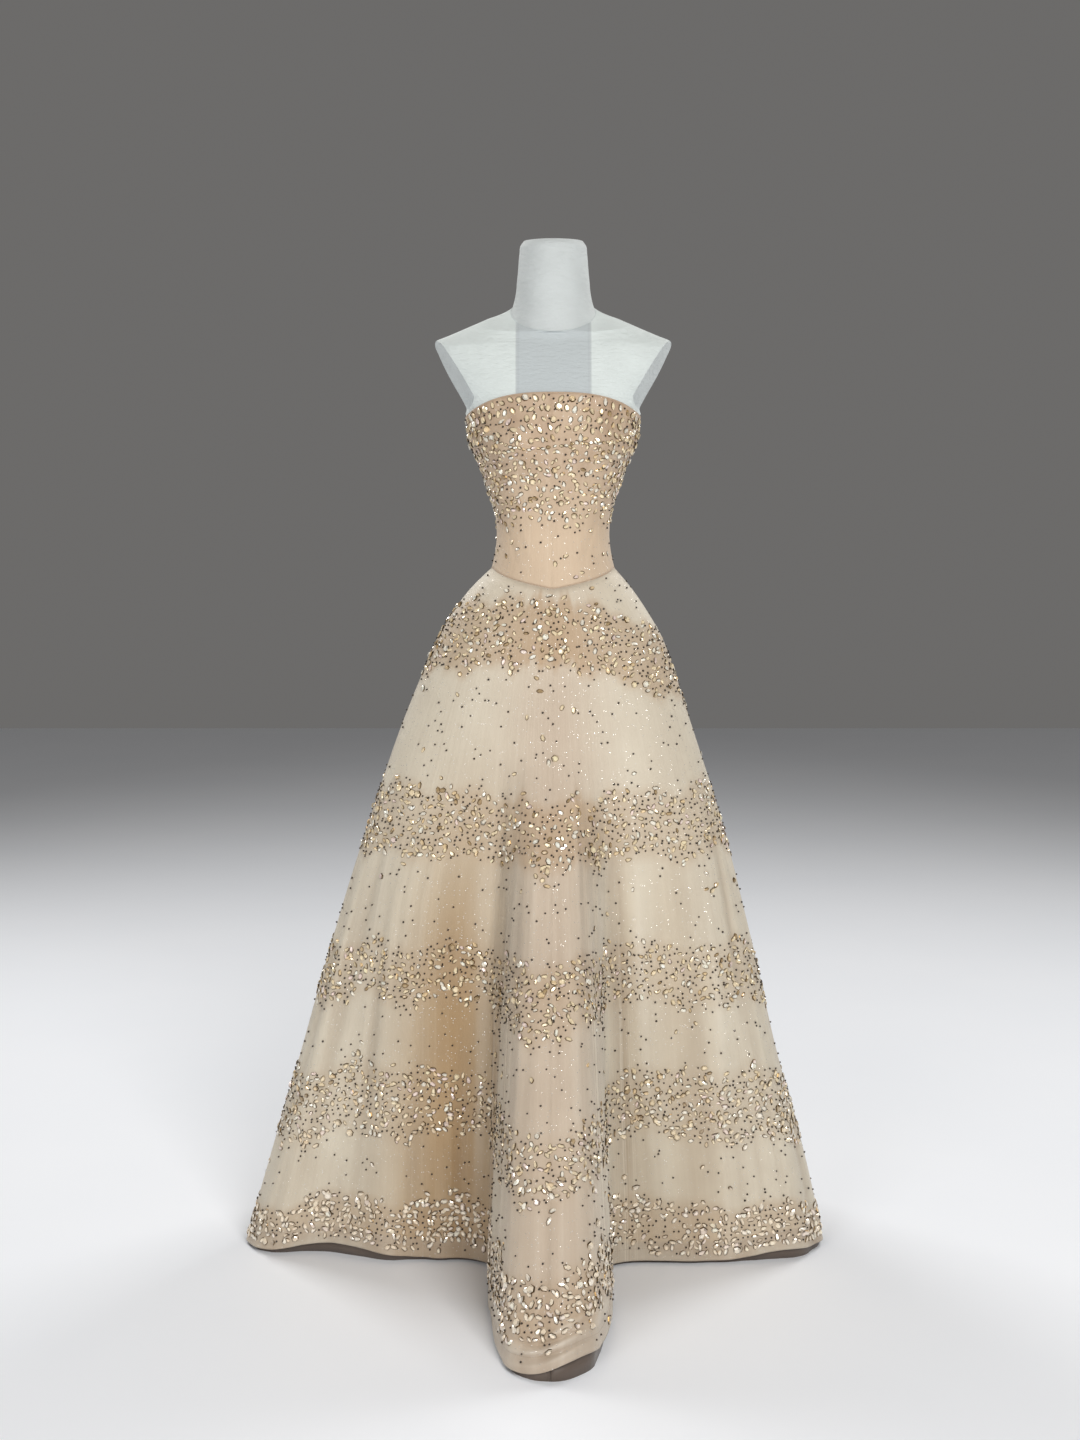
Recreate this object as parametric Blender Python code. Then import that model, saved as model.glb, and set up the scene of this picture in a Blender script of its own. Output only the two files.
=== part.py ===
"""A-line evening gown on a limbless dress form.

A strapless bodice, a long skirt with one tall pipe fold at the centre front, and an
underskirt, worn by a dress form on a pole with four legs. Metres, +Z up, the wearer faces -Y.
The origin is on the floor, under the middle of the stand.
"""
import math

import bmesh
import bpy
import numpy as np
from mathutils import Matrix

# Cloth walls and the spaces between them
BODICE_WALL = 0.0020
SKIRT_WALL = 0.0015
UNDERSKIRT_WALL = 0.0012
SEAM_GAP = 0.0003
UNDERSKIRT_SPACE_TOP = 0.0004
UNDERSKIRT_SPACE_HEM = 0.0070
UNDERSKIRT_SPACE_SHARE = 0.2

# Columns of the bodice and the dress form in each quarter, and the back's radius at the zip
FRONT_COLUMNS = 12
BACK_COLUMNS = 8
BACK_RADIUS = 0.078

# Heights of the gown's edges
TOP_EDGE_SIDE = 1.402
TOP_EDGE_FRONT_RISE = 0.036
TOP_EDGE_BACK_DROP = 0.012
WAIST_SEAM_SIDE = 1.158
WAIST_SEAM_V = 0.030
WAIST_SEAM_V_ANGLE = math.radians(75)

# Least rise of the form's first rows over the gown's top edge
CHEST_ROW_RISE = 0.006

# Neck seam of the dress form, lower in front
NECK_SEAM = 1.570
NECK_SEAM_TILT = 0.034
NECK_SEAM_HALF_WIDTH = 0.068
NECK_SEAM_HALF_DEPTH = 0.0625

# Bust cups
CUP_X = 0.066
CUP_Z = 1.360
CUP_DEPTH = 0.020
CUP_SPREAD_X = 0.040
CUP_SPREAD_Z = 0.038
CUP_SIDE_FADE = 2.0

# Flat armhole cuts of the dress form: x on the cut at the underarm and its slopes, and how
# far above the gown's edge the cut is complete
ARMHOLE_X = 0.124
ARMHOLE_Z = 1.401
ARMHOLE_RISE = 0.54
ARMHOLE_TURN = 0.243
ARMHOLE_FREE = 0.020
ARMHOLE_SLACK = 0.030

# Folds grow from their start height to the hem, and the skirt's top follows the bodice
FOLD_GROWTH = 1.12
WAIST_BLEND = 0.03
COLUMNS_PER_FOLD_STEP = 3

# Zip
ZIP_WIDTH = 0.0060
ZIP_THICK = 0.0012
ZIP_END = 1.010
ZIP_SUNK = 0.0002
SLIDER_Z = 1.374
SLIDER_SIZE = (0.0070, 0.0020, 0.0090)
BRIDGE_WIDTH = 0.0016
BRIDGE_LENGTH = 0.0072
BRIDGE_FOOT = 0.0010
BRIDGE_SPACE = 0.0019
BRIDGE_THICK = 0.0008
PULL_WIDTH = 0.0048
PULL_LENGTH = 0.0175
PULL_THICK = 0.0010
PULL_HOLE_WIDTH = 0.0026
PULL_HOLE_LENGTH = 0.0045

# Stand
POLE_RADIUS = 0.016
HUB_RADIUS = 0.050
HUB_HEIGHT = 0.030
LEG_REACH = 0.235
LEG_WIDTH = 0.036
LEG_HEIGHT = 0.020

# Dress form below the neck: height, half width, front depth, back depth, squareness
FORM_SECTIONS = (
    (0.975, 0.132, 0.088, 0.098, 2.2),
    (1.010, 0.144, 0.094, 0.108, 2.2),
    (1.060, 0.140, 0.091, 0.106, 2.2),
    (1.110, 0.116, 0.080, 0.092, 2.2),
    (1.158, 0.0985, 0.0772, 0.0800, 2.2),
    (1.213, 0.0900, 0.0745, 0.0740, 2.2),
    (1.251, 0.0934, 0.0780, 0.0755, 2.2),
    (1.290, 0.1060, 0.0865, 0.0805, 2.2),
    (1.329, 0.1195, 0.0950, 0.0860, 2.2),
    (1.360, 0.1335, 0.0985, 0.0905, 2.3),
    (1.401, 0.1400, 0.0975, 0.0945, 2.4),
    (1.437, 0.1580, 0.0905, 0.0960, 2.5),
    (1.473, 0.1810, 0.0800, 0.0930, 2.6),
    (1.503, 0.1925, 0.0690, 0.0860, 2.6),
    (1.518, 0.1960, 0.0625, 0.0810, 2.4),
    (1.525, 0.1885, 0.0600, 0.0780, 2.1),
    (1.532, 0.1710, 0.0600, 0.0750, 1.9),
    (1.545, 0.1400, 0.0605, 0.0710, 1.8),
    (1.560, 0.1050, 0.0615, 0.0680, 1.8),
    (1.575, 0.0740, 0.0620, 0.0655, 1.9),
    (1.604, 0.0680, 0.0625, 0.0625, 2.0),
)

# Rows of the dress form below the gown's bodice and above it, by height at the side
FORM_ROWS_BELOW = (0.975, 0.995, 1.035, 1.080, 1.120)
BODICE_ROWS = (0.0, 0.13, 0.25, 0.37, 0.49, 0.60, 0.70, 0.80, 0.90, 1.0)
FORM_ROWS_ABOVE = (1.443, 1.478, 1.503, 1.518, 1.525, 1.532, 1.545, 1.560)

# Neck: height, half width, half depth, and how it draws in from its seam
NECK_SECTIONS = (
    (1.615, 0.0590, 0.0575),
    (1.633, 0.0571, 0.0560),
    (1.663, 0.0546, 0.0531),
    (1.675, 0.0529, 0.0514),
    (1.682, 0.0480, 0.0465),
)
NECK_FLARE = 1.7
NECK_FLARE_ROW = 0.35

# Skirt without folds: height, half width at -X, half width at +X, front depth, back depth
SKIRT_SECTIONS = (
    (0.000, 0.533, 0.470, 0.116, 0.262),
    (0.130, 0.494, 0.441, 0.118, 0.252),
    (0.340, 0.430, 0.383, 0.120, 0.232),
    (0.545, 0.371, 0.334, 0.120, 0.208),
    (0.748, 0.304, 0.279, 0.119, 0.184),
    (0.898, 0.251, 0.230, 0.115, 0.163),
    (0.998, 0.210, 0.197, 0.109, 0.146),
    (1.048, 0.188, 0.178, 0.105, 0.134),
    (1.084, 0.166, 0.157, 0.099, 0.120),
    (1.124, 0.137, 0.130, 0.088, 0.101),
    (1.158, 0.104, 0.102, 0.080, 0.083),
)

# Ridges and valleys of the skirt: name, angle at the waist from the front towards +X,
# x and y at the hem, height where it starts
SKIRT_FOLDS = (
    ("pipe tip", 0, -0.006, -0.526, 0.88),
    ("pipe edge right", 7, 0.067, -0.470, 0.88),
    ("pipe side right", 12, 0.092, -0.290, 0.88),
    ("valley right", 19, 0.096, -0.106, 0.90),
    ("panel right", 38, 0.240, -0.092, 0.80),
    ("outer panel right", 61, 0.352, -0.078, 0.80),
    ("side front right", 79, 0.428, -0.058, 0.90),
    ("side tip right", 91, 0.466, 0.008, 0.90),
    ("side back right", 101, 0.420, 0.078, 0.90),
    ("side valley right", 113, 0.288, 0.120, 0.95),
    ("back fold edge right", 124, 0.338, 0.258, 0.95),
    ("back fold tip right", 133, 0.288, 0.362, 0.95),
    ("back fold inner right", 143, 0.198, 0.350, 0.95),
    ("back valley right", 155, 0.136, 0.196, 0.95),
    ("back pipe side right", 167, 0.096, 0.372, 0.92),
    ("back pipe tip", 180, 0.008, 0.452, 0.92),
    ("back pipe side left", 193, -0.086, 0.380, 0.92),
    ("back valley left", 205, -0.134, 0.190, 0.95),
    ("back fold inner left", 217, -0.212, 0.338, 0.95),
    ("back fold tip left", 227, -0.302, 0.352, 0.95),
    ("back fold edge left", 236, -0.360, 0.250, 0.95),
    ("side valley left", 247, -0.318, 0.116, 0.95),
    ("side back left", 259, -0.478, 0.082, 0.90),
    ("side tip left", 269, -0.528, 0.014, 0.90),
    ("side front left", 281, -0.487, -0.044, 0.90),
    ("outer panel left", 299, -0.392, -0.042, 0.80),
    ("ripple left", 314, -0.285, -0.078, 0.62),
    ("panel left", 326, -0.205, -0.078, 0.62),
    ("valley left", 341, -0.108, -0.100, 0.90),
    ("pipe side left", 348, -0.100, -0.290, 0.88),
    ("pipe edge left", 353, -0.075, -0.476, 0.88),
)

# Rows of the skirts from the waist seam to the hem, as shares of the height
SKIRT_ROWS = (0.0, 0.022, 0.05, 0.085, 0.13, 0.20, 0.30, 0.42, 0.55, 0.68, 0.80, 0.91, 1.0)
UNDERSKIRT_ROWS = (0.022, 0.05, 0.085, 0.13, 0.20, 0.30, 0.42, 0.55, 0.68, 0.80, 0.91, 1.0)

# Gores of the underskirt, each a wall from one fold of the table to another
UNDERSKIRT_GORES = (
    ("underskirt_front_right", "pipe tip", "valley right"),
    ("underskirt_panel_right", "valley right", "side tip right"),
    ("underskirt_side_right", "side tip right", "back fold tip right"),
    ("underskirt_back_right", "back fold tip right", "back pipe tip"),
    ("underskirt_back_left", "back pipe tip", "back fold tip left"),
    ("underskirt_side_left", "back fold tip left", "side tip left"),
    ("underskirt_panel_left", "side tip left", "valley left"),
    ("underskirt_front_left", "valley left", "pipe tip"),
)

# Where the outer hem is lifted off the floor: angle, height, spread
HEM_HEIGHT = 0.006
HEM_LIFTS = (
    (4.5, 0.022, 5.5),
    (72, 0.012, 16),
    (132, 0.010, 14),
    (180, 0.010, 10),
    (228, 0.010, 14),
    (303, 0.014, 14),
)


def material(name, colour, roughness, metallic=0.0):
    """A Principled material in one plain colour."""
    made = bpy.data.materials.new(name)
    made.use_nodes = True
    shader = made.node_tree.nodes["Principled BSDF"]
    shader.inputs["Base Color"].default_value = (*colour, 1.0)
    shader.inputs["Roughness"].default_value = roughness
    shader.inputs["Metallic"].default_value = metallic
    return made


def read_sections(table, heights):
    """Columns 1 onwards of a section table at the given heights, on a smooth curve."""
    table = np.array(table)
    heights = np.asarray(heights, dtype=float)
    known = table[:, 0]
    columns = []
    for column in table.T[1:]:
        slopes = np.gradient(column, known)
        place = np.clip(np.searchsorted(known, heights) - 1, 0, len(known) - 2)
        span = known[place + 1] - known[place]
        t = np.clip((heights - known[place]) / span, 0.0, 1.0)
        value = (column[place] * (1 + 2 * t) * (1 - t) ** 2
                 + column[place + 1] * t ** 2 * (3 - 2 * t)
                 + slopes[place] * span * t * (1 - t) ** 2
                 - slopes[place + 1] * span * t ** 2 * (1 - t))
        columns.append(value)
    return columns


def top_edge_height(angle):
    """Height of the gown's top edge: raised in front, a little lower behind."""
    front = np.maximum(np.cos(angle), 0.0)
    back = np.maximum(-np.cos(angle), 0.0)
    return TOP_EDGE_SIDE + TOP_EDGE_FRONT_RISE * front ** 2 - TOP_EDGE_BACK_DROP * back ** 2


def waist_seam_height(angle):
    """Height of the waist seam, which drops to a V at the centre front."""
    from_front = np.abs(np.remainder(angle + np.pi, 2 * np.pi) - np.pi)
    return WAIST_SEAM_SIDE - WAIST_SEAM_V * np.maximum(1 - from_front / WAIST_SEAM_V_ANGLE, 0.0)


def neck_seam_height(angle):
    """Height of the seam round the neck, lower in front."""
    return NECK_SEAM - NECK_SEAM_TILT * np.cos(angle)


def torso_points(angle, height):
    """Points on the dress form: squared ellipses with two cups and flat armhole cuts."""
    width, front, back, square = read_sections(FORM_SECTIONS, height)
    side = np.sin(angle)
    ahead = np.cos(angle)
    x = width * np.sign(side) * np.abs(side) ** (2 / square)
    depth = np.where(ahead > 0, front, back)
    y = -depth * np.sign(ahead) * np.abs(ahead) ** (2 / square)
    cups = np.exp(-((np.abs(x) - CUP_X) / CUP_SPREAD_X) ** 2 - ((height - CUP_Z) / CUP_SPREAD_Z) ** 2)
    y = y - CUP_DEPTH * cups * np.clip(ahead * CUP_SIDE_FADE, 0.0, 1.0)
    limit = ARMHOLE_X + ARMHOLE_RISE * (height - ARMHOLE_Z) + ARMHOLE_TURN * y
    below = 1 - (height - top_edge_height(angle)) / ARMHOLE_FREE
    limit = limit + ARMHOLE_SLACK * np.maximum(below, 0.0) ** 2
    x = np.clip(x, -limit, limit)
    return np.stack([x, y, height + 0 * x], axis=-1)


def normals(grid, closed):
    """Outward unit normals of a grid of points with rows going up and columns going round."""
    if closed:
        along = np.roll(grid, -1, axis=1) - np.roll(grid, 1, axis=1)
    else:
        along = np.gradient(grid, axis=1)
    up = np.gradient(grid, axis=0)
    across = np.cross(along, up)
    return across / np.linalg.norm(across, axis=-1, keepdims=True)


def torso_angles():
    """Angles of the dress form's and the bodice's columns, with the zip's two edges."""
    half_zip = (ZIP_WIDTH / 2 + SEAM_GAP) / BACK_RADIUS
    front = np.linspace(0, math.pi / 2, FRONT_COLUMNS + 1)
    back = np.linspace(math.pi / 2, math.pi - half_zip, BACK_COLUMNS + 1)[1:]
    right = np.concatenate([front, back])
    left = 2 * math.pi - right[:0:-1]
    return np.concatenate([right, left])


def bodice_heights(angle, share):
    """Heights on the bodice at a share of the way from the waist seam to the top edge."""
    low = waist_seam_height(angle)
    return low + (top_edge_height(angle) - low) * share


def torso_rows(angle):
    """Heights of every row of the dress form: plain, following the bodice, then plain."""
    rows = []
    seam = waist_seam_height(angle)
    start = FORM_ROWS_BELOW[0]
    for height in FORM_ROWS_BELOW:
        rows.append(start + (height - start) * (seam - start) / (WAIST_SEAM_SIDE - start))
    for share in BODICE_ROWS:
        rows.append(bodice_heights(angle, share))
    top = top_edge_height(angle)
    for height in FORM_ROWS_ABOVE:
        part = (height - TOP_EDGE_SIDE) / (NECK_SEAM - TOP_EDGE_SIDE)
        blended = top + (neck_seam_height(angle) - top) * part
        level = np.maximum(height, top + CHEST_ROW_RISE)
        rows.append(blended + (level - blended) * (1 - part ** 4) / 2)
    return np.array(rows)


def neck_seam_ring(angle):
    """The flat, tilted oval of the seam at the foot of the neck."""
    x = NECK_SEAM_HALF_WIDTH * np.sin(angle)
    y = -NECK_SEAM_HALF_DEPTH * np.cos(angle)
    return np.stack([x, y, neck_seam_height(angle)], axis=-1)


def torso_grid(angle):
    """The dress form's points, row by row from its lower edge to the neck seam."""
    heights = torso_rows(angle)
    grid = torso_points(np.broadcast_to(angle, heights.shape), heights)
    return np.concatenate([grid, neck_seam_ring(angle)[None]])


def bodice_surface(angle):
    """The rows of the dress form that the bodice covers, with their normals."""
    grid = torso_grid(angle)
    first = len(FORM_ROWS_BELOW)
    last = first + len(BODICE_ROWS)
    return grid[first:last], normals(grid, True)[first:last]


def fold_angles():
    """Waist angles of the skirt's columns, in steps between the folds of the table."""
    known = np.radians([row[1] for row in SKIRT_FOLDS] + [360])
    steps = np.arange(len(SKIRT_FOLDS) * COLUMNS_PER_FOLD_STEP) / COLUMNS_PER_FOLD_STEP
    return np.interp(steps, np.arange(len(known)), known)


def round_curve(values, per_step):
    """A smooth closed curve through values, sampled per_step times between neighbours."""
    before = np.roll(values, 1, axis=0)
    after = np.roll(values, -1, axis=0)
    beyond = np.roll(values, -2, axis=0)
    samples = []
    for k in range(per_step):
        t = k / per_step
        samples.append(0.5 * (2 * values + (after - before) * t
                              + (2 * before - 5 * values + 4 * after - beyond) * t ** 2
                              + (3 * values - before - 3 * after + beyond) * t ** 3))
    return np.stack(samples, axis=1).reshape(-1, values.shape[-1])


def skirt_ring(angle, height):
    """A ring of the skirt without folds."""
    left, right, front, back = read_sections(SKIRT_SECTIONS, height)
    side = np.sin(angle)
    ahead = np.cos(angle)
    x = np.where(side > 0, right, left) * side
    y = -np.where(ahead > 0, front, back) * ahead
    return np.stack([x, y], axis=-1)


def hem_height(angle):
    """Height of the outer skirt's hem above the floor."""
    height = HEM_HEIGHT + 0 * angle
    for centre, lift, spread in HEM_LIFTS:
        away = np.remainder(np.degrees(angle) - centre + 180, 360) - 180
        height = height + lift * np.exp(-(away / spread) ** 2)
    return height


def skirt_grid(rows, hem):
    """Outer points of a skirt: rings that open out, pushed into folds towards the hem."""
    angle = fold_angles()
    fold_angle = np.radians([row[1] for row in SKIRT_FOLDS])
    hem_point = np.array([row[2:4] for row in SKIRT_FOLDS])
    start = np.array([row[4] for row in SKIRT_FOLDS])
    push = hem_point - skirt_ring(fold_angle, 0 * fold_angle)
    seam = waist_seam_height(angle)
    worn = torso_points(angle, seam)
    _, across = bodice_surface(torso_angles())
    offset = SEAM_GAP + BODICE_WALL
    waist_out = np.stack([np.interp(angle, torso_angles(), across[0, :, k], period=2 * math.pi)
                          for k in range(2)], axis=-1)
    waist = worn[:, :2] + offset * waist_out
    gap_at_waist = waist - skirt_ring(angle, seam)
    grid = []
    for share in rows:
        height = seam + (hem - seam) * share
        at_folds = height[::COLUMNS_PER_FOLD_STEP]
        grown = np.clip((start - at_folds) / start, 0.0, 1.0) ** FOLD_GROWTH
        pushed = round_curve(push * grown[:, None], COLUMNS_PER_FOLD_STEP)
        place = skirt_ring(angle, height) + pushed + gap_at_waist * math.exp(-share / WAIST_BLEND)
        grid.append(np.column_stack([place, height]))
    return np.array(grid)


def inside(grid, depth):
    """A skirt's grid moved inwards, level, by depth; depth may differ from row to row."""
    out = normals(grid[::-1], True)[::-1]
    out[..., 2] = 0
    out /= np.linalg.norm(out, axis=-1, keepdims=True)
    depth = np.asarray(depth, dtype=float)
    if depth.ndim:
        depth = depth[:, None, None]
    return grid - out * depth


def panel(grid, first, last, ends):
    """Columns first to last of a closed grid, each end column moved in from its seam.

    ends holds, for the first and the last column, how far each row is moved.
    """
    picked = grid[:, np.arange(first, last + 1) % grid.shape[1]].copy()
    for end, inner, move in ((0, 1, ends[0]), (-1, -2, ends[1])):
        step = picked[:, inner] - picked[:, end]
        length = np.linalg.norm(step, axis=-1)
        picked[:, end] += step * (move / length)[:, None]
    return picked


def wall(name, outer, inner, finish, collection):
    """A cloth wall between an outer and an inner grid, closed at all its edges."""
    rows, columns = outer.shape[:2]
    mesh = bmesh.new()
    out = [[mesh.verts.new(point) for point in row] for row in outer]
    ins = [[mesh.verts.new(point) for point in row] for row in inner]
    for j in range(columns - 1):
        k = j + 1
        for i in range(rows - 1):
            mesh.faces.new((out[i][j], out[i][k], out[i + 1][k], out[i + 1][j]))
            mesh.faces.new((ins[i][j], ins[i + 1][j], ins[i + 1][k], ins[i][k]))
        mesh.faces.new((out[0][k], out[0][j], ins[0][j], ins[0][k]))
        mesh.faces.new((out[-1][j], out[-1][k], ins[-1][k], ins[-1][j]))
    for i in range(rows - 1):
        mesh.faces.new((out[i][0], out[i + 1][0], ins[i + 1][0], ins[i][0]))
        mesh.faces.new((out[i + 1][-1], out[i][-1], ins[i][-1], ins[i + 1][-1]))
    return finish_mesh(name, mesh, finish, collection)


def solid(name, rings, finish, collection):
    """A solid lofted through closed rings, with a flat cap at each end."""
    mesh = bmesh.new()
    verts = [[mesh.verts.new(point) for point in ring] for ring in rings]
    columns = len(verts[0])
    for low, high in zip(verts, verts[1:]):
        for j in range(columns):
            k = (j + 1) % columns
            mesh.faces.new((low[j], low[k], high[k], high[j]))
    mesh.faces.new(verts[0][::-1])
    mesh.faces.new(verts[-1])
    return finish_mesh(name, mesh, finish, collection)


def finish_mesh(name, mesh, finish, collection):
    """Turn a bmesh into a smooth-shaded object facing outwards."""
    bmesh.ops.recalc_face_normals(mesh, faces=mesh.faces)
    data = bpy.data.meshes.new(name)
    mesh.to_mesh(data)
    mesh.free()
    data.shade_smooth()
    data.set_sharp_from_angle(angle=math.radians(40))
    data.materials.append(finish)
    made = bpy.data.objects.new(name, data)
    collection.objects.link(made)
    return made


def adopt(name, finish, collection):
    """Name the object that a primitive operator just made and put it in the collection."""
    made = bpy.context.object
    made.name = name
    made.data.name = name
    made.data.materials.append(finish)
    for old in list(made.users_collection):
        old.objects.unlink(made)
    collection.objects.link(made)
    return made


def box(name, size, finish, collection):
    """A plain box about its own origin."""
    mesh = bmesh.new()
    bmesh.ops.create_cube(mesh, size=1, matrix=Matrix.Diagonal((*size, 1.0)))
    return finish_mesh(name, mesh, finish, collection)


def plate(name, outlines, thick, finish, collection):
    """A flat plate from closed outlines in X and Z, later ones being holes, thick in Y."""
    curve = bpy.data.curves.new(name, "CURVE")
    curve.dimensions = "2D"
    curve.fill_mode = "BOTH"
    curve.extrude = thick / 2
    for outline in outlines:
        spline = curve.splines.new("POLY")
        spline.points.add(len(outline) - 1)
        for point, (x, z) in zip(spline.points, outline):
            point.co = (x, z, 0, 1)
        spline.use_cyclic_u = True
    curve.materials.append(finish)
    made = bpy.data.objects.new(name, curve)
    made.rotation_euler = (math.pi / 2, 0, 0)
    collection.objects.link(made)
    return made


def build_form(finish, collection):
    """The torso and the neck of the dress form."""
    angle = torso_angles()
    grid = torso_grid(angle)
    solid("form_body", grid, finish, collection)
    seam = grid[-1] + (0, 0, SEAM_GAP)
    levels = [np.stack([width * np.sin(angle), -depth * np.cos(angle), height + 0 * angle], axis=-1)
              for height, width, depth in NECK_SECTIONS]
    drawn_in = 1 - (1 - NECK_FLARE_ROW) ** NECK_FLARE
    flare = seam + (levels[0] - seam) * (drawn_in, drawn_in, NECK_FLARE_ROW)
    rings = [seam, flare, *levels]
    solid("form_neck", rings, finish, collection)


def build_stand(finish, collection):
    """The pole, the hub on the floor and its four legs."""
    low = HUB_HEIGHT + SEAM_GAP
    high = FORM_ROWS_BELOW[0] - SEAM_GAP
    bpy.ops.mesh.primitive_cylinder_add(vertices=24, radius=POLE_RADIUS, depth=high - low,
                                        location=(0, 0, (low + high) / 2))
    adopt("form_pole", finish, collection)
    sides = 24
    bpy.ops.mesh.primitive_cylinder_add(vertices=sides, radius=HUB_RADIUS, depth=HUB_HEIGHT,
                                        location=(0, 0, HUB_HEIGHT / 2),
                                        rotation=(0, 0, math.pi / sides))
    adopt("form_hub", finish, collection)
    start = HUB_RADIUS * math.cos(math.pi / sides) + SEAM_GAP
    length = LEG_REACH - start
    for number in range(4):
        turn = number * math.pi / 2
        middle = start + length / 2
        place = (middle * math.cos(turn), middle * math.sin(turn), LEG_HEIGHT / 2)
        leg = box("form_leg_%d" % (number + 1), (length, LEG_WIDTH, LEG_HEIGHT), finish, collection)
        leg.location = place
        leg.rotation_euler = (0, 0, turn)


def build_bodice(finish, collection):
    """The bodice's front and its two backs, each a wall moved out from the dress form."""
    angle = torso_angles()
    surface, across = bodice_surface(angle)
    inner = surface + across * SEAM_GAP
    outer = inner + across * BODICE_WALL
    count = len(angle)
    middle = count // 2
    at_zip = np.zeros(len(outer))
    at_side = np.full(len(outer), SEAM_GAP / 2)
    panels = (
        ("bodice_front", count - FRONT_COLUMNS, count + FRONT_COLUMNS, (at_side, at_side)),
        ("bodice_back_right", FRONT_COLUMNS, middle, (at_side, at_zip)),
        ("bodice_back_left", middle + 1, count - FRONT_COLUMNS, (at_zip, at_side)),
    )
    for name, first, last, ends in panels:
        wall(name, panel(outer, first, last, ends), panel(inner, first, last, ends),
             finish, collection)
    return outer


def build_skirts(finish, lining, collection):
    """The outer skirt in three pieces and the underskirt in its gores."""
    angle = fold_angles()
    count = len(angle)
    outer = skirt_grid(SKIRT_ROWS, hem_height(angle))
    outer[0, :, 2] -= SEAM_GAP
    inner = inside(outer, SKIRT_WALL)
    column = {row[0]: number * COLUMNS_PER_FOLD_STEP for number, row in enumerate(SKIRT_FOLDS)}
    right = column["side tip right"]
    left = column["side tip left"]
    back = column["back pipe tip"]
    half = np.full(len(SKIRT_ROWS), SEAM_GAP / 2)
    beside_zip = np.where(outer[:, back, 2] > ZIP_END, ZIP_WIDTH / 2 + SEAM_GAP, SEAM_GAP / 2)
    panels = (
        ("skirt_front", left, count + right, (half, half)),
        ("skirt_back_right", right, back, (half, beside_zip)),
        ("skirt_back_left", back, left, (beside_zip, half)),
    )
    for name, first, last, ends in panels:
        wall(name, panel(outer, first, last, ends), panel(inner, first, last, ends),
             finish, collection)
    under = skirt_grid(UNDERSKIRT_ROWS, 0 * angle)
    opened = np.minimum(np.array(UNDERSKIRT_ROWS) / UNDERSKIRT_SPACE_SHARE, 1)
    space = UNDERSKIRT_SPACE_TOP + (UNDERSKIRT_SPACE_HEM - UNDERSKIRT_SPACE_TOP) * opened
    under_outer = inside(under, SKIRT_WALL + space)
    under_inner = inside(under, SKIRT_WALL + space + UNDERSKIRT_WALL)
    half = np.full(len(UNDERSKIRT_ROWS), SEAM_GAP / 2)
    ends = (half, half)
    for name, start, stop in UNDERSKIRT_GORES:
        first = column[start]
        last = column[stop] or count
        wall(name, panel(under_outer, first, last, ends), panel(under_inner, first, last, ends),
             lining, collection)
    return outer, back


def build_zip(bodice_outer, skirt_outer, skirt_back, tape, metal, collection):
    """The zip's tape at the centre back, its slider and its hanging pull."""
    middle = bodice_outer.shape[1] // 2
    upper = (bodice_outer[:, middle] + bodice_outer[:, middle + 1]) / 2
    lower = [point for point in skirt_outer[1:, skirt_back] if point[2] > ZIP_END]
    path = np.concatenate([upper[::-1], lower])
    half = ZIP_WIDTH / 2
    rings = []
    for _, y, z in path[::-1]:
        out = y - ZIP_SUNK
        deep = out - ZIP_THICK
        rings.append([(-half, out, z), (-half, deep, z), (half, deep, z), (half, out, z)])
    solid("zip_tape", rings, tape, collection)
    reach = SLIDER_SIZE[2] / 2
    low_y, middle_y, high_y = np.interp((SLIDER_Z - reach, SLIDER_Z, SLIDER_Z + reach),
                                        upper[:, 2], upper[:, 1])
    place = bpy.data.objects.new("zip_place", None)
    place.location = (0, middle_y, SLIDER_Z)
    place.rotation_euler = (-math.atan2(high_y - low_y, 2 * reach), 0, 0)
    collection.objects.link(place)
    build_slider(place, metal, collection)
    build_pull(place, metal, collection)


def build_slider(place, metal, collection):
    """The slider: a small block with a bridge that the pull hangs from."""
    face = SEAM_GAP + SLIDER_SIZE[1]
    body = box("zip_slider", SLIDER_SIZE, metal, collection)
    body.parent = place
    body.location = (0, SEAM_GAP + SLIDER_SIZE[1] / 2, 0)
    end = BRIDGE_LENGTH / 2
    under = BRIDGE_SPACE
    top = BRIDGE_SPACE + BRIDGE_THICK
    root = -SLIDER_SIZE[1] / 2
    outline = ((root, -end), (root, -end + BRIDGE_FOOT), (under, -end + BRIDGE_FOOT),
               (under, end - BRIDGE_FOOT), (root, end - BRIDGE_FOOT), (root, end), (top, end), (top, -end))
    mesh = bmesh.new()
    rim = [mesh.verts.new((-BRIDGE_WIDTH / 2, y, z)) for y, z in outline]
    side = mesh.faces.new(rim)
    swept = bmesh.ops.extrude_face_region(mesh, geom=[side])
    moved = [item for item in swept["geom"] if isinstance(item, bmesh.types.BMVert)]
    bmesh.ops.translate(mesh, verts=moved, vec=(BRIDGE_WIDTH, 0, 0))
    bridge = finish_mesh("zip_bridge_guide", mesh, metal, collection)
    bridge.parent = place
    bridge.location = (0, face, 0)
    bridge.hide_render = True
    bridge.display_type = "WIRE"
    joined = body.modifiers.new("bridge", "BOOLEAN")
    joined.operation = "UNION"
    joined.object = bridge


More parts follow.
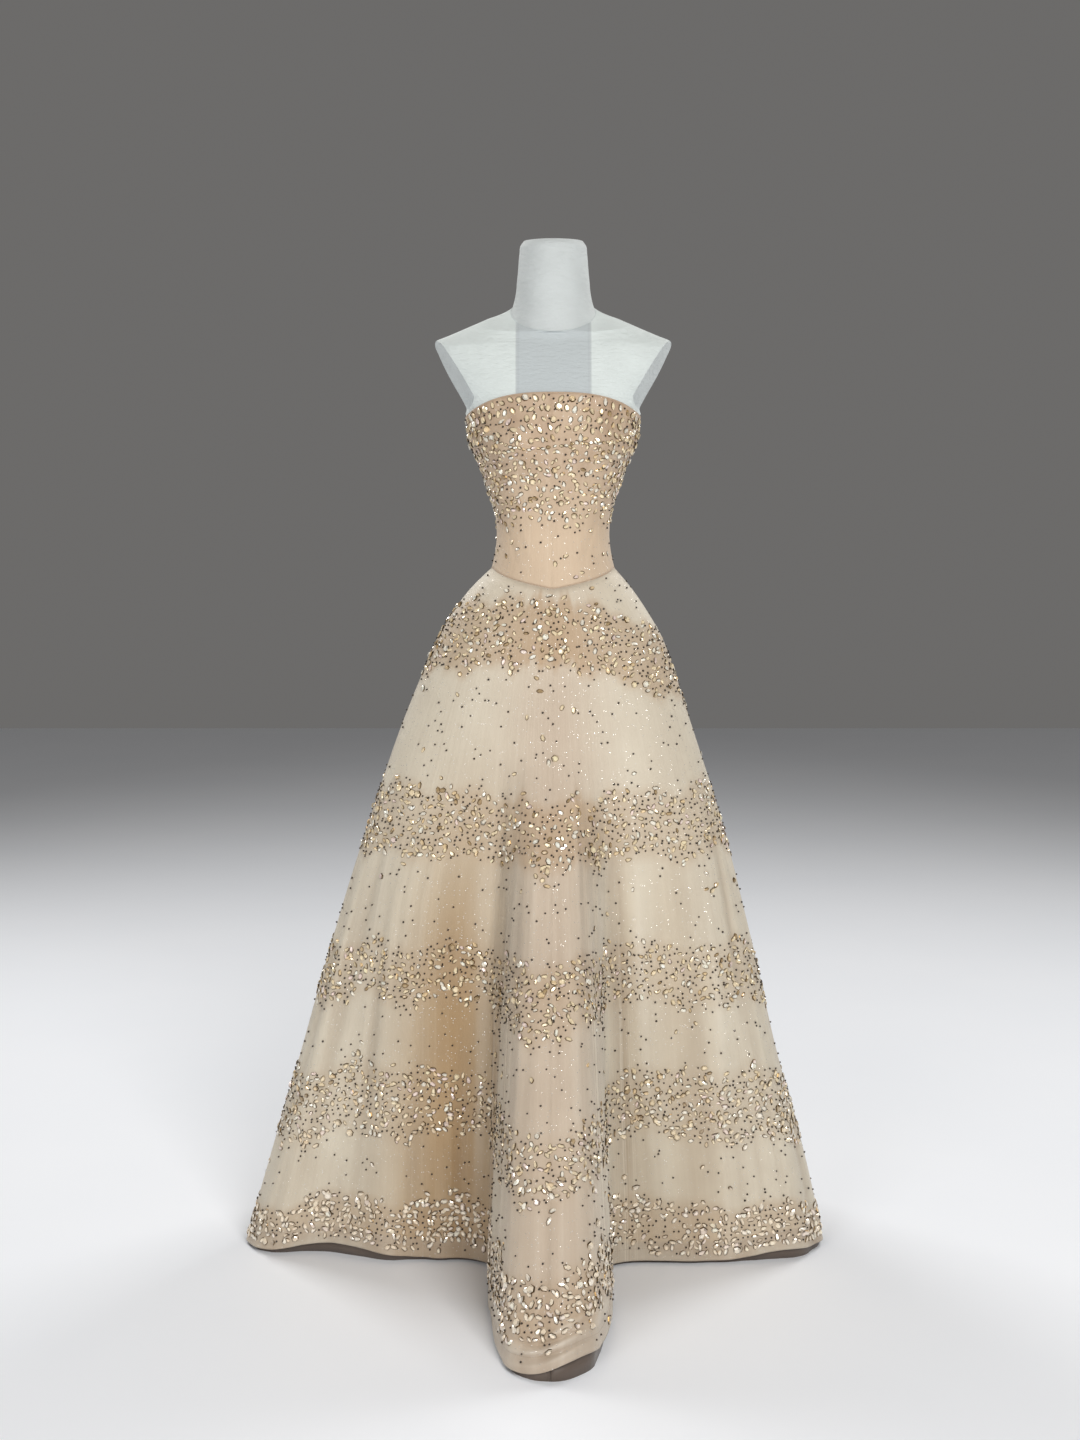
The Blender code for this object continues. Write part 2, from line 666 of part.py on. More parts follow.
def build_pull(place, metal, collection):
    """The pull: a flat tab whose top rim passes under the slider's bridge."""
    half = PULL_WIDTH / 2
    rim = PULL_THICK / 2
    tip = -PULL_LENGTH + half
    turns = np.linspace(math.pi, 2 * math.pi, 9)
    tab = [(half * math.cos(t), tip + half * math.sin(t)) for t in turns] + [(half, rim), (-half, rim)]
    side = PULL_HOLE_WIDTH / 2
    low = -rim - PULL_HOLE_LENGTH
    hole = [(-side, low), (side, low), (side, -rim), (-side, -rim)]
    pull = plate("zip_pull", (tab, hole), PULL_THICK, metal, collection)
    pull.parent = place
    pull.location = (0, SEAM_GAP + SLIDER_SIZE[1] + BRIDGE_SPACE / 2, 0)


def main():
    for old in list(bpy.data.objects):
        bpy.data.objects.remove(old, do_unlink=True)
    collection = bpy.data.collections.new("a_line_evening_gown")
    bpy.context.scene.collection.children.link(collection)
    linen = material("form_cover", (0.72, 0.75, 0.73), 0.6)
    metal = material("stand_metal", (0.55, 0.55, 0.56), 0.35, 1.0)
    tulle = material("glitter_tulle", (0.62, 0.50, 0.38), 0.5)
    crystal = material("beaded_tulle", (0.58, 0.43, 0.31), 0.4)
    lining = material("brown_lining", (0.13, 0.09, 0.07), 0.55)
    tape = material("zip_tape", (0.50, 0.38, 0.28), 0.7)
    brass = material("zip_metal", (0.62, 0.50, 0.36), 0.3, 1.0)
    build_form(linen, collection)
    build_stand(metal, collection)
    bodice_outer = build_bodice(crystal, collection)
    skirt_outer, skirt_back = build_skirts(tulle, lining, collection)
    build_zip(bodice_outer, skirt_outer, skirt_back, tape, brass, collection)


main()
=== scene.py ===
"""Looks of a beaded a-line evening gown on a limbless dress form.

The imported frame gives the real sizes. Every cloth here is a fine surface on the form of its
solid, worked out from the same sections and folds, and carries its stones, beads, stitches
and weave. Metres, +Z up, the wearer faces -Y. The file is laid out as an add-on and is run
as a script: main() registers it and calls its operators in order.
"""
import math

import bpy
import numpy as np
from bpy.props import FloatProperty, FloatVectorProperty, IntProperty, PointerProperty
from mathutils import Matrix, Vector


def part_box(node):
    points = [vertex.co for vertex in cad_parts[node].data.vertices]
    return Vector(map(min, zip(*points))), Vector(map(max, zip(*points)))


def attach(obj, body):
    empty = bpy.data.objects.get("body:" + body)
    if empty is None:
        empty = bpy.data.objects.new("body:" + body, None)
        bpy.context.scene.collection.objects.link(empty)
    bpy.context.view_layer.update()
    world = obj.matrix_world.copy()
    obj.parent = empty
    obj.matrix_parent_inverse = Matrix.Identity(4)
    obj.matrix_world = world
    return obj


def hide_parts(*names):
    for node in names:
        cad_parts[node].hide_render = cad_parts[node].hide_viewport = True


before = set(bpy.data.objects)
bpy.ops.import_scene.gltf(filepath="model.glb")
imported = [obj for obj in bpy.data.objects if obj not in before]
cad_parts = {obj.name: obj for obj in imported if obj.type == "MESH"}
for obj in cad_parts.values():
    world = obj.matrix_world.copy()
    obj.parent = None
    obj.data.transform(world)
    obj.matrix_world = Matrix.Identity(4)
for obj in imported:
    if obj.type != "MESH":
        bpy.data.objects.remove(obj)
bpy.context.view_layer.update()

bl_info = {
    "name": "A-line evening gown",
    "version": (1, 0, 0),
    "blender": (4, 5, 0),
    "location": "3D View > Sidebar > Gown",
    "description": "Cloth, stones, beads and dress form of an a-line evening gown",
    "category": "Add Mesh",
}

BODY = "gown"

# Photograph and camera: frame in pixels, focal length in pixels, row of the horizon
FRAME_WIDTH = 1080
FRAME_HEIGHT = 1440
FOCAL_PIXELS = 1950.0
HORIZON_ROW = 480.0
GOWN_AXIS_COLUMN = 553.0
CAMERA_DISTANCE = 3.2125
CAMERA_HEIGHT = 1.301
SENSOR = 36.0

# Cloth walls and gaps
BODICE_WALL = 0.0020
SKIRT_WALL = 0.0015
UNDERSKIRT_WALL = 0.0012
UNDERSKIRT_SLACK = 0.0002
SEAM_GAP = 0.0003
UNDERSKIRT_SPACE_TOP = 0.0004
UNDERSKIRT_SPACE_HEM = 0.0070
UNDERSKIRT_SPACE_SHARE = 0.2

# How much of a panel's width is squeezed beside a seam
TRIM_SPAN = 0.030

# Edges of the gown, and how the folds grow down from the waist
TOP_EDGE_SIDE = 1.402
TOP_EDGE_FRONT_RISE = 0.036
TOP_EDGE_BACK_DROP = 0.012
WAIST_SEAM_SIDE = 1.158
WAIST_SEAM_V = 0.030
WAIST_SEAM_V_ANGLE = math.radians(75)
WAIST_BLEND = 0.03
FOLD_GROWTH = 1.12

# Dress form: chest rows, neck seam, cups and armhole cuts
FORM_LOW = 0.975
CHEST_ROW_RISE = 0.006
SHOULDER_TOP = 1.560
NECK_SEAM = 1.570
NECK_SEAM_TILT = 0.034
NECK_SEAM_HALF_WIDTH = 0.068
NECK_SEAM_HALF_DEPTH = 0.0625
NECK_FLARE = 1.7
CUP_X = 0.066
CUP_Z = 1.360
CUP_DEPTH = 0.020
CUP_SPREAD_X = 0.040
CUP_SPREAD_Z = 0.038
CUP_SIDE_FADE = 2.0
ARMHOLE_X = 0.124
ARMHOLE_Z = 1.401
ARMHOLE_RISE = 0.54
ARMHOLE_TURN = 0.243
ARMHOLE_FREE = 0.020
ARMHOLE_SLACK = 0.030
FRONT_BAND_HALF_WIDTH = 0.060

# Edges of the grey band down the front, from its half width: where each shade begins and ends,
# and its strength there; the band itself, then the darker line rising and falling
FRONT_BAND_EDGES = ((-0.004, 0.0, 1.0, 0.0), (-0.006, -0.001, 0.0, 0.4),
                    (-0.001, 0.0015, 1.0, 0.0))

# Round line of the neck seam, and the angles past which the torso's and the neck's edges are
# sharp
NECK_LINE_RADIUS = 0.0008
NECK_LINE_OUT = (1.004, 1.004, 1)
TORSO_SHARP = math.radians(26)
NECK_SHARP = math.radians(40)

# Rows of the grids: ends of the spans, and how many rows in each with both ends counted
FORM_ROWS = ((0, 1, 2), (14, 46))
SHOULDER_ROWS = ((1.408, 1.503, 1.532, SHOULDER_TOP), (24, 16, 16))
NECK_ROWS = ((1.615, 1.663, 1.682), (9, 13))
SKIRT_ROWS = ((0, 0.93, 1), (88, 34))
UNDERSKIRT_ROWS = ((0.022, 1), (76,))
CLOSING_ROWS = 9
FLARE_ROWS = 16
BODICE_ROWS = 84

# Columns of the grids: in a sixth of the form, round the neck, in a quarter of the bodice, and
# in each fold of the skirts
FORM_SIXTH = 34
NECK_COLUMNS = 144
QUARTER = 72
SKIRT_PER_FOLD = 15
UNDERSKIRT_PER_FOLD = 9

# Sides of a round line, of the bodice's stones and of the skirt's
LINE_SIDES = 6
BODICE_STONE_SIDES = 8
SKIRT_STONE_SIDES = 6

# Zip: width, height of its lower end, from where to where below that end the cloth closes, and
# how far stones keep from it
ZIP_WIDTH = 0.0060
ZIP_END = 1.061
ZIP_CLOSING = (0.0002, 0.0012)
ZIP_CLEAR = 0.0085

# Teeth of the zip: pitch, size, how far to either side, and how far from the tape's foot and
# from the slider they stop
TOOTH_PITCH = 0.0016
TOOTH_SIZE = (0.0017, 0.0007, 0.0009)
TOOTH_X = 0.0006
TOOTH_INSET = 0.001
SLIDER_CLEAR = 0.0005

# Stitches: pitch, size and height over the hem; on the tape, how far to either side, how deep
# and how far below its top they end
STITCH_PITCH = 0.0036
STITCH_SIZE = (0.0023, 0.0005, 0.0004)
HEM_STITCH_LINE = 0.022
ZIP_STITCH_X = 0.0056
ZIP_STITCH_SUNK = 0.0002
ZIP_STITCH_INSET = 0.004

# The tape's face: heights this near are one row of it, and its lean is read over this much
SAME_HEIGHT = 0.0002
LEAN_STEP = 0.004

# What the tulle's streaks run by: metres round the hem, and for each radian of the bodice
HEM_LENGTH = 4.0
BODICE_RUN = 0.3

# Dress form below the neck: height, half width, front depth, back depth, squareness
FORM_SECTIONS = (
    (0.975, 0.132, 0.088, 0.098, 2.2),
    (1.010, 0.144, 0.094, 0.108, 2.2),
    (1.060, 0.140, 0.091, 0.106, 2.2),
    (1.110, 0.116, 0.080, 0.092, 2.2),
    (1.158, 0.0985, 0.0772, 0.0800, 2.2),
    (1.213, 0.0900, 0.0745, 0.0740, 2.2),
    (1.251, 0.0934, 0.0780, 0.0755, 2.2),
    (1.290, 0.1060, 0.0865, 0.0805, 2.2),
    (1.329, 0.1195, 0.0950, 0.0860, 2.2),
    (1.360, 0.1335, 0.0985, 0.0905, 2.3),
    (1.401, 0.1400, 0.0975, 0.0945, 2.4),
    (1.437, 0.1580, 0.0905, 0.0960, 2.5),
    (1.473, 0.1810, 0.0800, 0.0930, 2.6),
    (1.503, 0.1925, 0.0690, 0.0860, 2.6),
    (1.518, 0.1960, 0.0625, 0.0810, 2.4),
    (1.525, 0.1885, 0.0600, 0.0780, 2.1),
    (1.532, 0.1710, 0.0600, 0.0750, 1.9),
    (1.545, 0.1400, 0.0605, 0.0710, 1.8),
    (1.560, 0.1050, 0.0615, 0.0680, 1.8),
    (1.575, 0.0740, 0.0620, 0.0655, 1.9),
    (1.604, 0.0680, 0.0625, 0.0625, 2.0),
)

# Neck: height, half width, half depth
NECK_SECTIONS = (
    (1.615, 0.0590, 0.0575),
    (1.633, 0.0571, 0.0560),
    (1.663, 0.0546, 0.0531),
    (1.675, 0.0529, 0.0514),
    (1.682, 0.0480, 0.0465),
)

# Skirt without folds: height, half width at -X, half width at +X, front depth, back depth
SKIRT_SECTIONS = (
    (0.000, 0.533, 0.470, 0.116, 0.262),
    (0.130, 0.494, 0.441, 0.118, 0.252),
    (0.340, 0.430, 0.383, 0.120, 0.232),
    (0.545, 0.371, 0.334, 0.120, 0.208),
    (0.748, 0.304, 0.279, 0.119, 0.184),
    (0.898, 0.251, 0.230, 0.115, 0.163),
    (0.998, 0.210, 0.197, 0.109, 0.146),
    (1.048, 0.188, 0.178, 0.105, 0.134),
    (1.084, 0.166, 0.157, 0.099, 0.120),
    (1.124, 0.137, 0.130, 0.088, 0.101),
    (1.158, 0.104, 0.102, 0.080, 0.083),
)

# Ridges and valleys of the skirt: name, angle at the waist from the front towards +X,
# x and y at the hem, height where it starts
SKIRT_FOLDS = (
    ("pipe tip", 0, -0.006, -0.526, 0.88),
    ("pipe edge right", 7, 0.067, -0.470, 0.88),
    ("pipe side right", 12, 0.092, -0.290, 0.88),
    ("valley right", 19, 0.096, -0.106, 0.90),
    ("panel right", 38, 0.240, -0.092, 0.80),
    ("outer panel right", 61, 0.352, -0.078, 0.80),
    ("side front right", 79, 0.428, -0.058, 0.90),
    ("side tip right", 91, 0.466, 0.008, 0.90),
    ("side back right", 101, 0.420, 0.078, 0.90),
    ("side valley right", 113, 0.288, 0.120, 0.95),
    ("back fold edge right", 124, 0.338, 0.258, 0.95),
    ("back fold tip right", 133, 0.288, 0.362, 0.95),
    ("back fold inner right", 143, 0.198, 0.350, 0.95),
    ("back valley right", 155, 0.136, 0.196, 0.95),
    ("back pipe side right", 167, 0.096, 0.372, 0.92),
    ("back pipe tip", 180, 0.008, 0.452, 0.92),
    ("back pipe side left", 193, -0.086, 0.380, 0.92),
    ("back valley left", 205, -0.134, 0.190, 0.95),
    ("back fold inner left", 217, -0.212, 0.338, 0.95),
    ("back fold tip left", 227, -0.302, 0.352, 0.95),
    ("back fold edge left", 236, -0.360, 0.250, 0.95),
    ("side valley left", 247, -0.318, 0.116, 0.95),
    ("side back left", 259, -0.478, 0.082, 0.90),
    ("side tip left", 269, -0.528, 0.014, 0.90),
    ("side front left", 281, -0.487, -0.044, 0.90),
    ("outer panel left", 299, -0.392, -0.042, 0.80),
    ("ripple left", 314, -0.285, -0.078, 0.62),
    ("panel left", 326, -0.205, -0.078, 0.62),
    ("valley left", 341, -0.108, -0.100, 0.90),
    ("pipe side left", 348, -0.100, -0.290, 0.88),
    ("pipe edge left", 353, -0.075, -0.476, 0.88),
)
FOLD = {row[0]: number for number, row in enumerate(SKIRT_FOLDS)}
FOLD_COUNT = len(SKIRT_FOLDS)

# Gores of the underskirt: name, fold where each starts, fold where it ends
UNDERSKIRT_GORES = (
    ("underskirt_front_right", "pipe tip", "valley right"),
    ("underskirt_panel_right", "valley right", "side tip right"),
    ("underskirt_side_right", "side tip right", "back fold tip right"),
    ("underskirt_back_right", "back fold tip right", "back pipe tip"),
    ("underskirt_back_left", "back pipe tip", "back fold tip left"),
    ("underskirt_side_left", "back fold tip left", "side tip left"),
    ("underskirt_panel_left", "side tip left", "valley left"),
    ("underskirt_front_left", "valley left", "pipe tip"),
)

# Where the outer hem is lifted off the floor: angle, height, spread
HEM_HEIGHT = 0.006
HEM_LIFTS = (
    (4.5, 0.022, 5.5),
    (72, 0.012, 16),
    (132, 0.010, 14),
    (180, 0.010, 10),
    (228, 0.010, 14),
    (303, 0.014, 14),
)

# Soft creases of the skirt: fold it lies by, steps from that fold, lean in steps to the hem,
# top and bottom as shares of the way down, half width, depth (a ridge where negative)
CREASES = (
    ("pipe edge right", 0.55, 0.10, 0.34, 0.99, 0.010, -0.0022),
    ("pipe side right", 0.35, -0.05, 0.42, 0.97, 0.008, 0.0026),
    ("valley right", 0.15, 0.05, 0.30, 0.95, 0.014, 0.0050),
    ("valley right", 0.45, 0.10, 0.38, 0.90, 0.009, -0.0022),
    ("panel right", 0.25, 0.05, 0.50, 0.98, 0.016, 0.0022),
    ("panel right", 0.85, -0.08, 0.62, 1.00, 0.012, 0.0018),
    ("outer panel right", 0.55, 0.06, 0.28, 0.80, 0.018, 0.0020),
    ("side front right", 0.40, 0.04, 0.35, 0.95, 0.012, 0.0016),
    ("side tip right", 0.55, 0.02, 0.22, 0.92, 0.014, 0.0020),
    ("side back right", 0.60, 0.05, 0.30, 0.98, 0.016, 0.0030),
    ("side valley right", 0.50, -0.05, 0.35, 0.96, 0.012, -0.0022),
    ("back fold edge right", 0.60, 0.08, 0.42, 1.00, 0.012, 0.0020),
    ("back fold inner right", 0.45, 0.00, 0.30, 0.90, 0.012, 0.0026),
    ("back valley right", 0.55, 0.06, 0.38, 0.98, 0.011, -0.0020),
    ("back pipe side right", 0.60, 0.04, 0.46, 0.99, 0.012, 0.0020),
    ("back pipe side left", -0.45, -0.05, 0.36, 0.95, 0.014, 0.0022),
    ("back valley left", -0.50, 0.03, 0.30, 0.97, 0.012, -0.0024),
    ("back fold inner left", -0.35, -0.04, 0.44, 0.98, 0.013, 0.0022),
    ("back fold edge left", -0.55, 0.06, 0.34, 0.93, 0.014, 0.0020),
    ("side valley left", 0.45, -0.04, 0.30, 0.99, 0.016, 0.0028),
    ("side back left", 0.45, 0.05, 0.40, 0.95, 0.013, 0.0018),
    ("side tip left", 0.60, -0.03, 0.30, 0.90, 0.015, 0.0020),
    ("side front left", 0.55, 0.05, 0.36, 0.99, 0.016, 0.0024),
    ("outer panel left", 0.50, -0.08, 0.55, 1.00, 0.014, 0.0026),
    ("ripple left", 0.50, 0.06, 0.60, 0.99, 0.013, 0.0030),
    ("panel left", 0.45, 0.08, 0.46, 0.97, 0.016, 0.0032),
    ("panel left", 0.80, 0.05, 0.34, 0.92, 0.011, -0.0020),
    ("valley left", 0.25, -0.04, 0.40, 0.98, 0.009, -0.0026),
    ("valley left", 0.62, 0.03, 0.36, 0.97, 0.009, 0.0028),
    ("pipe side left", 0.50, 0.02, 0.44, 0.98, 0.008, -0.0022),
    ("pipe edge left", 0.45, 0.04, 0.50, 0.96, 0.012, 0.0014),
)

# Long low waves all round the skirt: number in the round, lean in half turns, phase, height
LONG_WAVES = (
    (37, 3.0, 0.4, 0.0006),
    (53, -2.1, 1.9, 0.0005),
    (71, 4.3, 3.1, 0.0003),
    (23, 1.2, 5.0, 0.0008),
)

# Level wrinkles over the hem: fold, steps from it, height over the hem, half length,
# half width, depth, tilt
HEM_WRINKLES = (
    ("pipe tip", 0.10, 0.050, 0.085, 0.0044, -0.0030, 0.10),
    ("pipe tip", 0.05, 0.040, 0.110, 0.0040, 0.0044, -0.06),
    ("pipe tip", -0.20, 0.030, 0.100, 0.0040, -0.0036, 0.05),
    ("pipe tip", 0.15, 0.021, 0.090, 0.0036, 0.0036, -0.05),
    ("pipe tip", -0.10, 0.012, 0.080, 0.0036, -0.0022, 0.04),
    ("pipe edge right", 0.60, 0.030, 0.050, 0.0034, 0.0014, 0.12),
    ("outer panel right", 0.30, 0.028, 0.090, 0.0040, 0.0016, 0.05),
    ("side front right", 0.20, 0.020, 0.060, 0.0034, 0.0014, -0.08),
    ("back fold tip right", 0.10, 0.030, 0.080, 0.0040, 0.0018, 0.06),
    ("back pipe tip", -0.10, 0.034, 0.080, 0.0040, 0.0020, -0.05),
    ("back pipe tip", 0.15, 0.022, 0.090, 0.0034, 0.0016, 0.04),
    ("back fold tip left", -0.10, 0.030, 0.080, 0.0040, 0.0018, -0.06),
    ("side front left", -0.30, 0.026, 0.070, 0.0038, 0.0016, 0.07),
    ("outer panel left", 0.10, 0.022, 0.080, 0.0036, 0.0018, -0.05),
)

# Shares over which a crease comes and goes, the part that goes, the share down to which the
# waist stays smooth, the underskirt's highest ridge, and the depth at which the painted shade in
# a crease and the painted highlight on a ridge are full
CREASE_COMES = 0.16
CREASE_GOES = 0.12
CREASE_LOSS = 0.8
SMOOTH_WAIST = 0.10
UNDERSKIRT_RIDGE = 0.001
CREASE_SHADED = 0.004

# Valley colour: partly the nude lining through the net, partly painted shade and bounced light;
# fold, steps from it, half width at the hem, share where it starts, strength
VALLEY_SHADE_AND_LINING = (
    ("valley left", -0.60, 0.120, 0.16, 0.95),
    ("valley left", 0.20, 0.050, 0.24, 0.80),
    ("valley right", 0.35, 0.045, 0.20, 0.20),
    ("panel right", 0.10, 0.060, 0.10, 0.25),
    ("ripple left", 0.50, 0.050, 0.45, 0.30),
    ("side valley right", 0.00, 0.070, 0.20, 0.85),
    ("back valley right", 0.00, 0.065, 0.18, 0.95),
    ("back valley left", 0.00, 0.065, 0.18, 0.95),
    ("side valley left", 0.00, 0.070, 0.20, 0.85),
)

# Nude shade on the pipe folds: the same columns
NUDE_FOLDS = (
    ("pipe tip", 0.0, 0.175, -0.20, 1.00),
    ("back fold tip right", 0.0, 0.100, 0.0, 0.60),
    ("back pipe tip", 0.0, 0.120, 0.0, 0.80),
    ("back fold tip left", 0.0, 0.100, 0.0, 0.60),
)

# Shares over which those shades and the painted pleat lines below come in, and their width at the
# waist
SHADE_COMES = 0.45
SHADE_WAIST_WIDTH = 0.35

# Painted highlights and shade of narrow pleats beside the pipe folds, which the mesh lacks: fold,
# steps from it, half width at the hem, share where they start, strength
PAINTED_PLEAT_LINES = (
    ("pipe edge right", 0.60, 0.024, 0.30, 1.00),
    ("pipe side left", 0.30, 0.026, 0.34, 0.80),
    ("valley left", 0.45, 0.030, 0.30, 0.55),
    ("valley right", 0.20, 0.026, 0.36, 0.45),
    ("back pipe side right", 0.35, 0.026, 0.34, 0.80),
    ("back pipe side left", -0.40, 0.028, 0.32, 0.90),
    ("back fold inner left", -0.30, 0.026, 0.38, 0.60),
    ("back fold edge right", 0.45, 0.028, 0.36, 0.65),
)

# Beaded bands of the skirt, in shares of the way down, at these waist angles: top edges and
# bottom edges
BAND_ANGLES = (0, 38, 90, 180, 270, 322)
BANDS = (
    ((0.010, 0.045, 0.104, 0.060, 0.053, 0.030), (0.104, 0.152, 0.208, 0.160, 0.156, 0.130)),
    ((0.302, 0.300, 0.308, 0.300, 0.307, 0.298), (0.392, 0.402, 0.412, 0.398, 0.411, 0.402)),
    ((0.515, 0.525, 0.545, 0.525, 0.544, 0.528), (0.611, 0.613, 0.638, 0.620, 0.636, 0.614)),
    ((0.729, 0.709, 0.735, 0.720, 0.734, 0.708), (0.809, 0.815, 0.850, 0.825, 0.849, 0.815)),
    ((0.890, 0.910, 0.940, 0.915, 0.940, 0.912), (0.958, 0.994, 1.000, 0.994, 1.000, 0.994)),
)
BAND_SOFTNESS = 0.010
BAND_WAVE = 0.007

# Darker cloth under the bands: everywhere, more above, below and high up, and on the pipes;
# the extra below, on the lowest band, is partly painted shade that darkens it towards the floor
GROUND_PLAIN = 0.20
GROUND_TOP = 0.26
# Partly painted shade: the lowest band darkens towards the floor
HEM_GROUND_AND_SHADE = 0.30
GROUND_HIGH = 0.14
GROUND_PIPES = 0.40

# Scatter over the beaded parts: shares of the lattice sites that get a stone or a bead
BAND_STONES = 0.50
BAND_BEADS = 0.46
PLAIN_STONES = 0.013
PLAIN_BEADS = 0.085

# The lowest bands, which have more stones, larger and paler ones, and fewer beads
LOW_BANDS = (0.62, 0.92)
LOW_BAND_STONES = 0.64
LOW_BAND_BEADS = 0.27
LOW_STONE_GROWTH = 0.18
LOW_STONE_PALE = 0.6
LOW_STONE_TINT = (0.98, 0.87, 0.74)

# Folds whose sides have fewer stones, by what share, and how many fold steps to either side
THINNED = ("pipe side right", "pipe side left", "back pipe side right", "back pipe side left")
THINNING = 0.45
THIN_REACH = 0.7

# Scatter of the bodice, sparse at the waist, dense in the middle, with large stones on top
WAIST_STONES = 0.075
BODICE_DENSE_LOW = 0.36
BODICE_LARGE_LOW = 0.77
BODICE_STONES = 0.80
BODICE_BEADS = 0.18
TOP_BEADS = 0.85
LARGE_STONES = 0.90

# How far a site is moved at random, as a share of the spacing
LARGE_JITTER = 0.16
BODICE_JITTER = 0.34
SKIRT_JITTER = 0.33

# How far stones keep from the edges (a share of the height at the bodice's waist) and from
# larger ones
LARGE_INSET = 0.0065
SMALL_INSET = 0.0035
WAIST_INSET = 0.025
WAIST_CLEAR = 0.006
HEM_CLEAR = 0.011
GARLAND_CLEAR = 0.0055
LARGE_CLEAR = 0.0066

# Stone cuts: share of the stones, width to length, sharpness of the ends, taper to one end
STONE_CUTS = (
    (0.40, 0.52, 1.55, 0.00),
    (0.32, 0.62, 1.00, 0.00),
    (0.20, 0.60, 1.10, 0.38),
    (0.08, 0.94, 1.00, 0.00),
)

# Levels of a stone: share of its outline, rim beyond it, height as a share of its thickness;
# thinnest and thickest as shares of its half width; random lean; darkest and lightest tone of
# a stone; darkest painted shade of a facet and of the table, and the brightest painted highlight
# of either, standing in for the light that each facet catches
STONE_LEVELS = ((1.0, 0.0010, -0.12), (1.0, 0.0001, 0.40), (0.62, 0.0, 0.92))
STONE_THICK = (0.62, 0.86)
STONE_LEAN = 0.16
STONE_TONES = (0.85, 1.1)
FACET_LOW = 0.42
TABLE_LOW = 0.94
FACET_HIGH = 1.08

# Smallest and largest stones, as shares of the mean
SKIRT_STONE_SIZES = (0.74, 1.18)
BODICE_STONE_SIZES = (0.82, 1.12)

# Beads: smallest and largest as shares of the mean, height of the middle in radii, random lean
BEAD_SIZES = (0.85, 1.12)
BEAD_RISE = 0.7
BEAD_LEAN = 0.3

# Stone colours (linear): share, red, green, blue
STONE_TINTS = (
    (0.46, 0.94, 0.78, 0.52),
    (0.28, 1.00, 0.94, 0.80),
    (0.12, 0.84, 0.64, 0.38),
    (0.08, 0.96, 0.78, 0.70),
    (0.06, 0.44, 0.31, 0.16),
)

# Small bright stones in an arc over the bust: height at the centre, rise to the sides,
# reach either side in degrees, spacing, length
GARLAND = (1.352, 0.030, 82, 0.0060, 0.0070)

# Trims of the bodice: name, row of the cloth, radius, how far out it lies; and how many columns
# of the cloth each ends away from the zip
TRIMS = (
    ("bodice_top_binding", -1, 0.0011, 0.0),
    ("waist_seam_piping", 0, 0.0008, 0.0003),
)
TRIM_AWAY = 3

# Soft creases of the bodice: angle and share at the top, angle and share at the foot,
# half width, depth (a ridge where negative)
BODICE_CREASES = (
    (-78, 0.98, -66, 0.60, 0.0050, 0.0009),
    (-70, 0.99, -60, 0.66, 0.0040, -0.0007),
    (74, 0.97, 62, 0.58, 0.0050, 0.0009),
    (-60, 0.34, -30, 0.04, 0.0060, 0.0008),
    (-38, 0.40, -16, 0.06, 0.0048, -0.0006),
    (52, 0.38, 24, 0.05, 0.0055, 0.0008),
    (34, 0.30, 12, 0.03, 0.0045, -0.0006),
    (100, 0.60, 112, 0.10, 0.0060, 0.0008),
    (140, 0.50, 128, 0.05, 0.0055, -0.0007),
    (-104, 0.55, -118, 0.08, 0.0060, 0.0009),
    (-146, 0.48, -132, 0.06, 0.0050, -0.0007),
)

# Lights: name, place, width, power, colour
LIGHTS = (
    ("key", (1.25, -3.6, 2.9), 1.5, 106, (1.0, 0.98, 0.955)),
    ("fill", (-1.9, -3.7, 1.9), 1.8, 42, (1.0, 0.98, 0.965)),
    ("back left", (-2.0, 2.0, 3.0), 1.4, 64, (1.0, 0.99, 0.97)),
    ("back right", (2.2, 2.0, 3.0), 1.4, 58, (1.0, 0.99, 0.97)),
)
LIT_POINT = Vector((0, 0, 0.8))
SKY = (1.0, 0.975, 0.95, 1.0)
SKY_STRENGTH = 0.15
FLOOR_REACH = 7.0

# Mottled finishes: name, roughness, metal, scale of the mottling (three numbers where it is
# drawn out), its detail and the range it is read over, the darker and the lighter colour, and
# the bump's strength and depth
EDGE_BINDING = ("edge binding", 0.55, 0.0, 900.0, 2.0, None,
                (0.36, 0.25, 0.17), (0.60, 0.46, 0.34), (0.4, 0.0002))
SEWING_THREAD = ("sewing thread", 0.6, 0.0, 2400.0, 1.0, None,
                 (0.28, 0.19, 0.12), (0.46, 0.34, 0.23), (0.5, 0.0001))
STAND_METAL = ("stand metal", 0.35, 1.0, (40.0, 40.0, 900.0), 2.0, None,
               (0.42, 0.42, 0.43), (0.62, 0.62, 0.63), (0.2, 0.0001))
ZIP_BRASS = ("zip brass", 0.28, 1.0, 420.0, 3.0, (0.35, 0.65),
             (0.40, 0.30, 0.18), (0.70, 0.58, 0.42), (0.15, 0.0001))
ZIP_TAPE = ("zip tape", 0.75, 0.0, (200.0, 200.0, 1600.0), 2.0, None,
            (0.36, 0.26, 0.18), (0.54, 0.42, 0.31), (0.5, 0.0002))
PALE_FLOOR = ("pale floor", 0.6, 0.0, 1.6, 4.0, None,
              (0.86, 0.89, 0.94), (0.92, 0.94, 0.98), None)


def colour(name, what, value):
    """A colour property with its default in linear red, green and blue."""
    return FloatVectorProperty(name=name, description=what, subtype="COLOR", size=3,
                               min=0.0, max=1.0, default=value)


def length(name, what, value):
    """A length property in metres."""
    return FloatProperty(name=name, description=what, subtype="DISTANCE", unit="LENGTH",
                         min=0.0, default=value, precision=4)


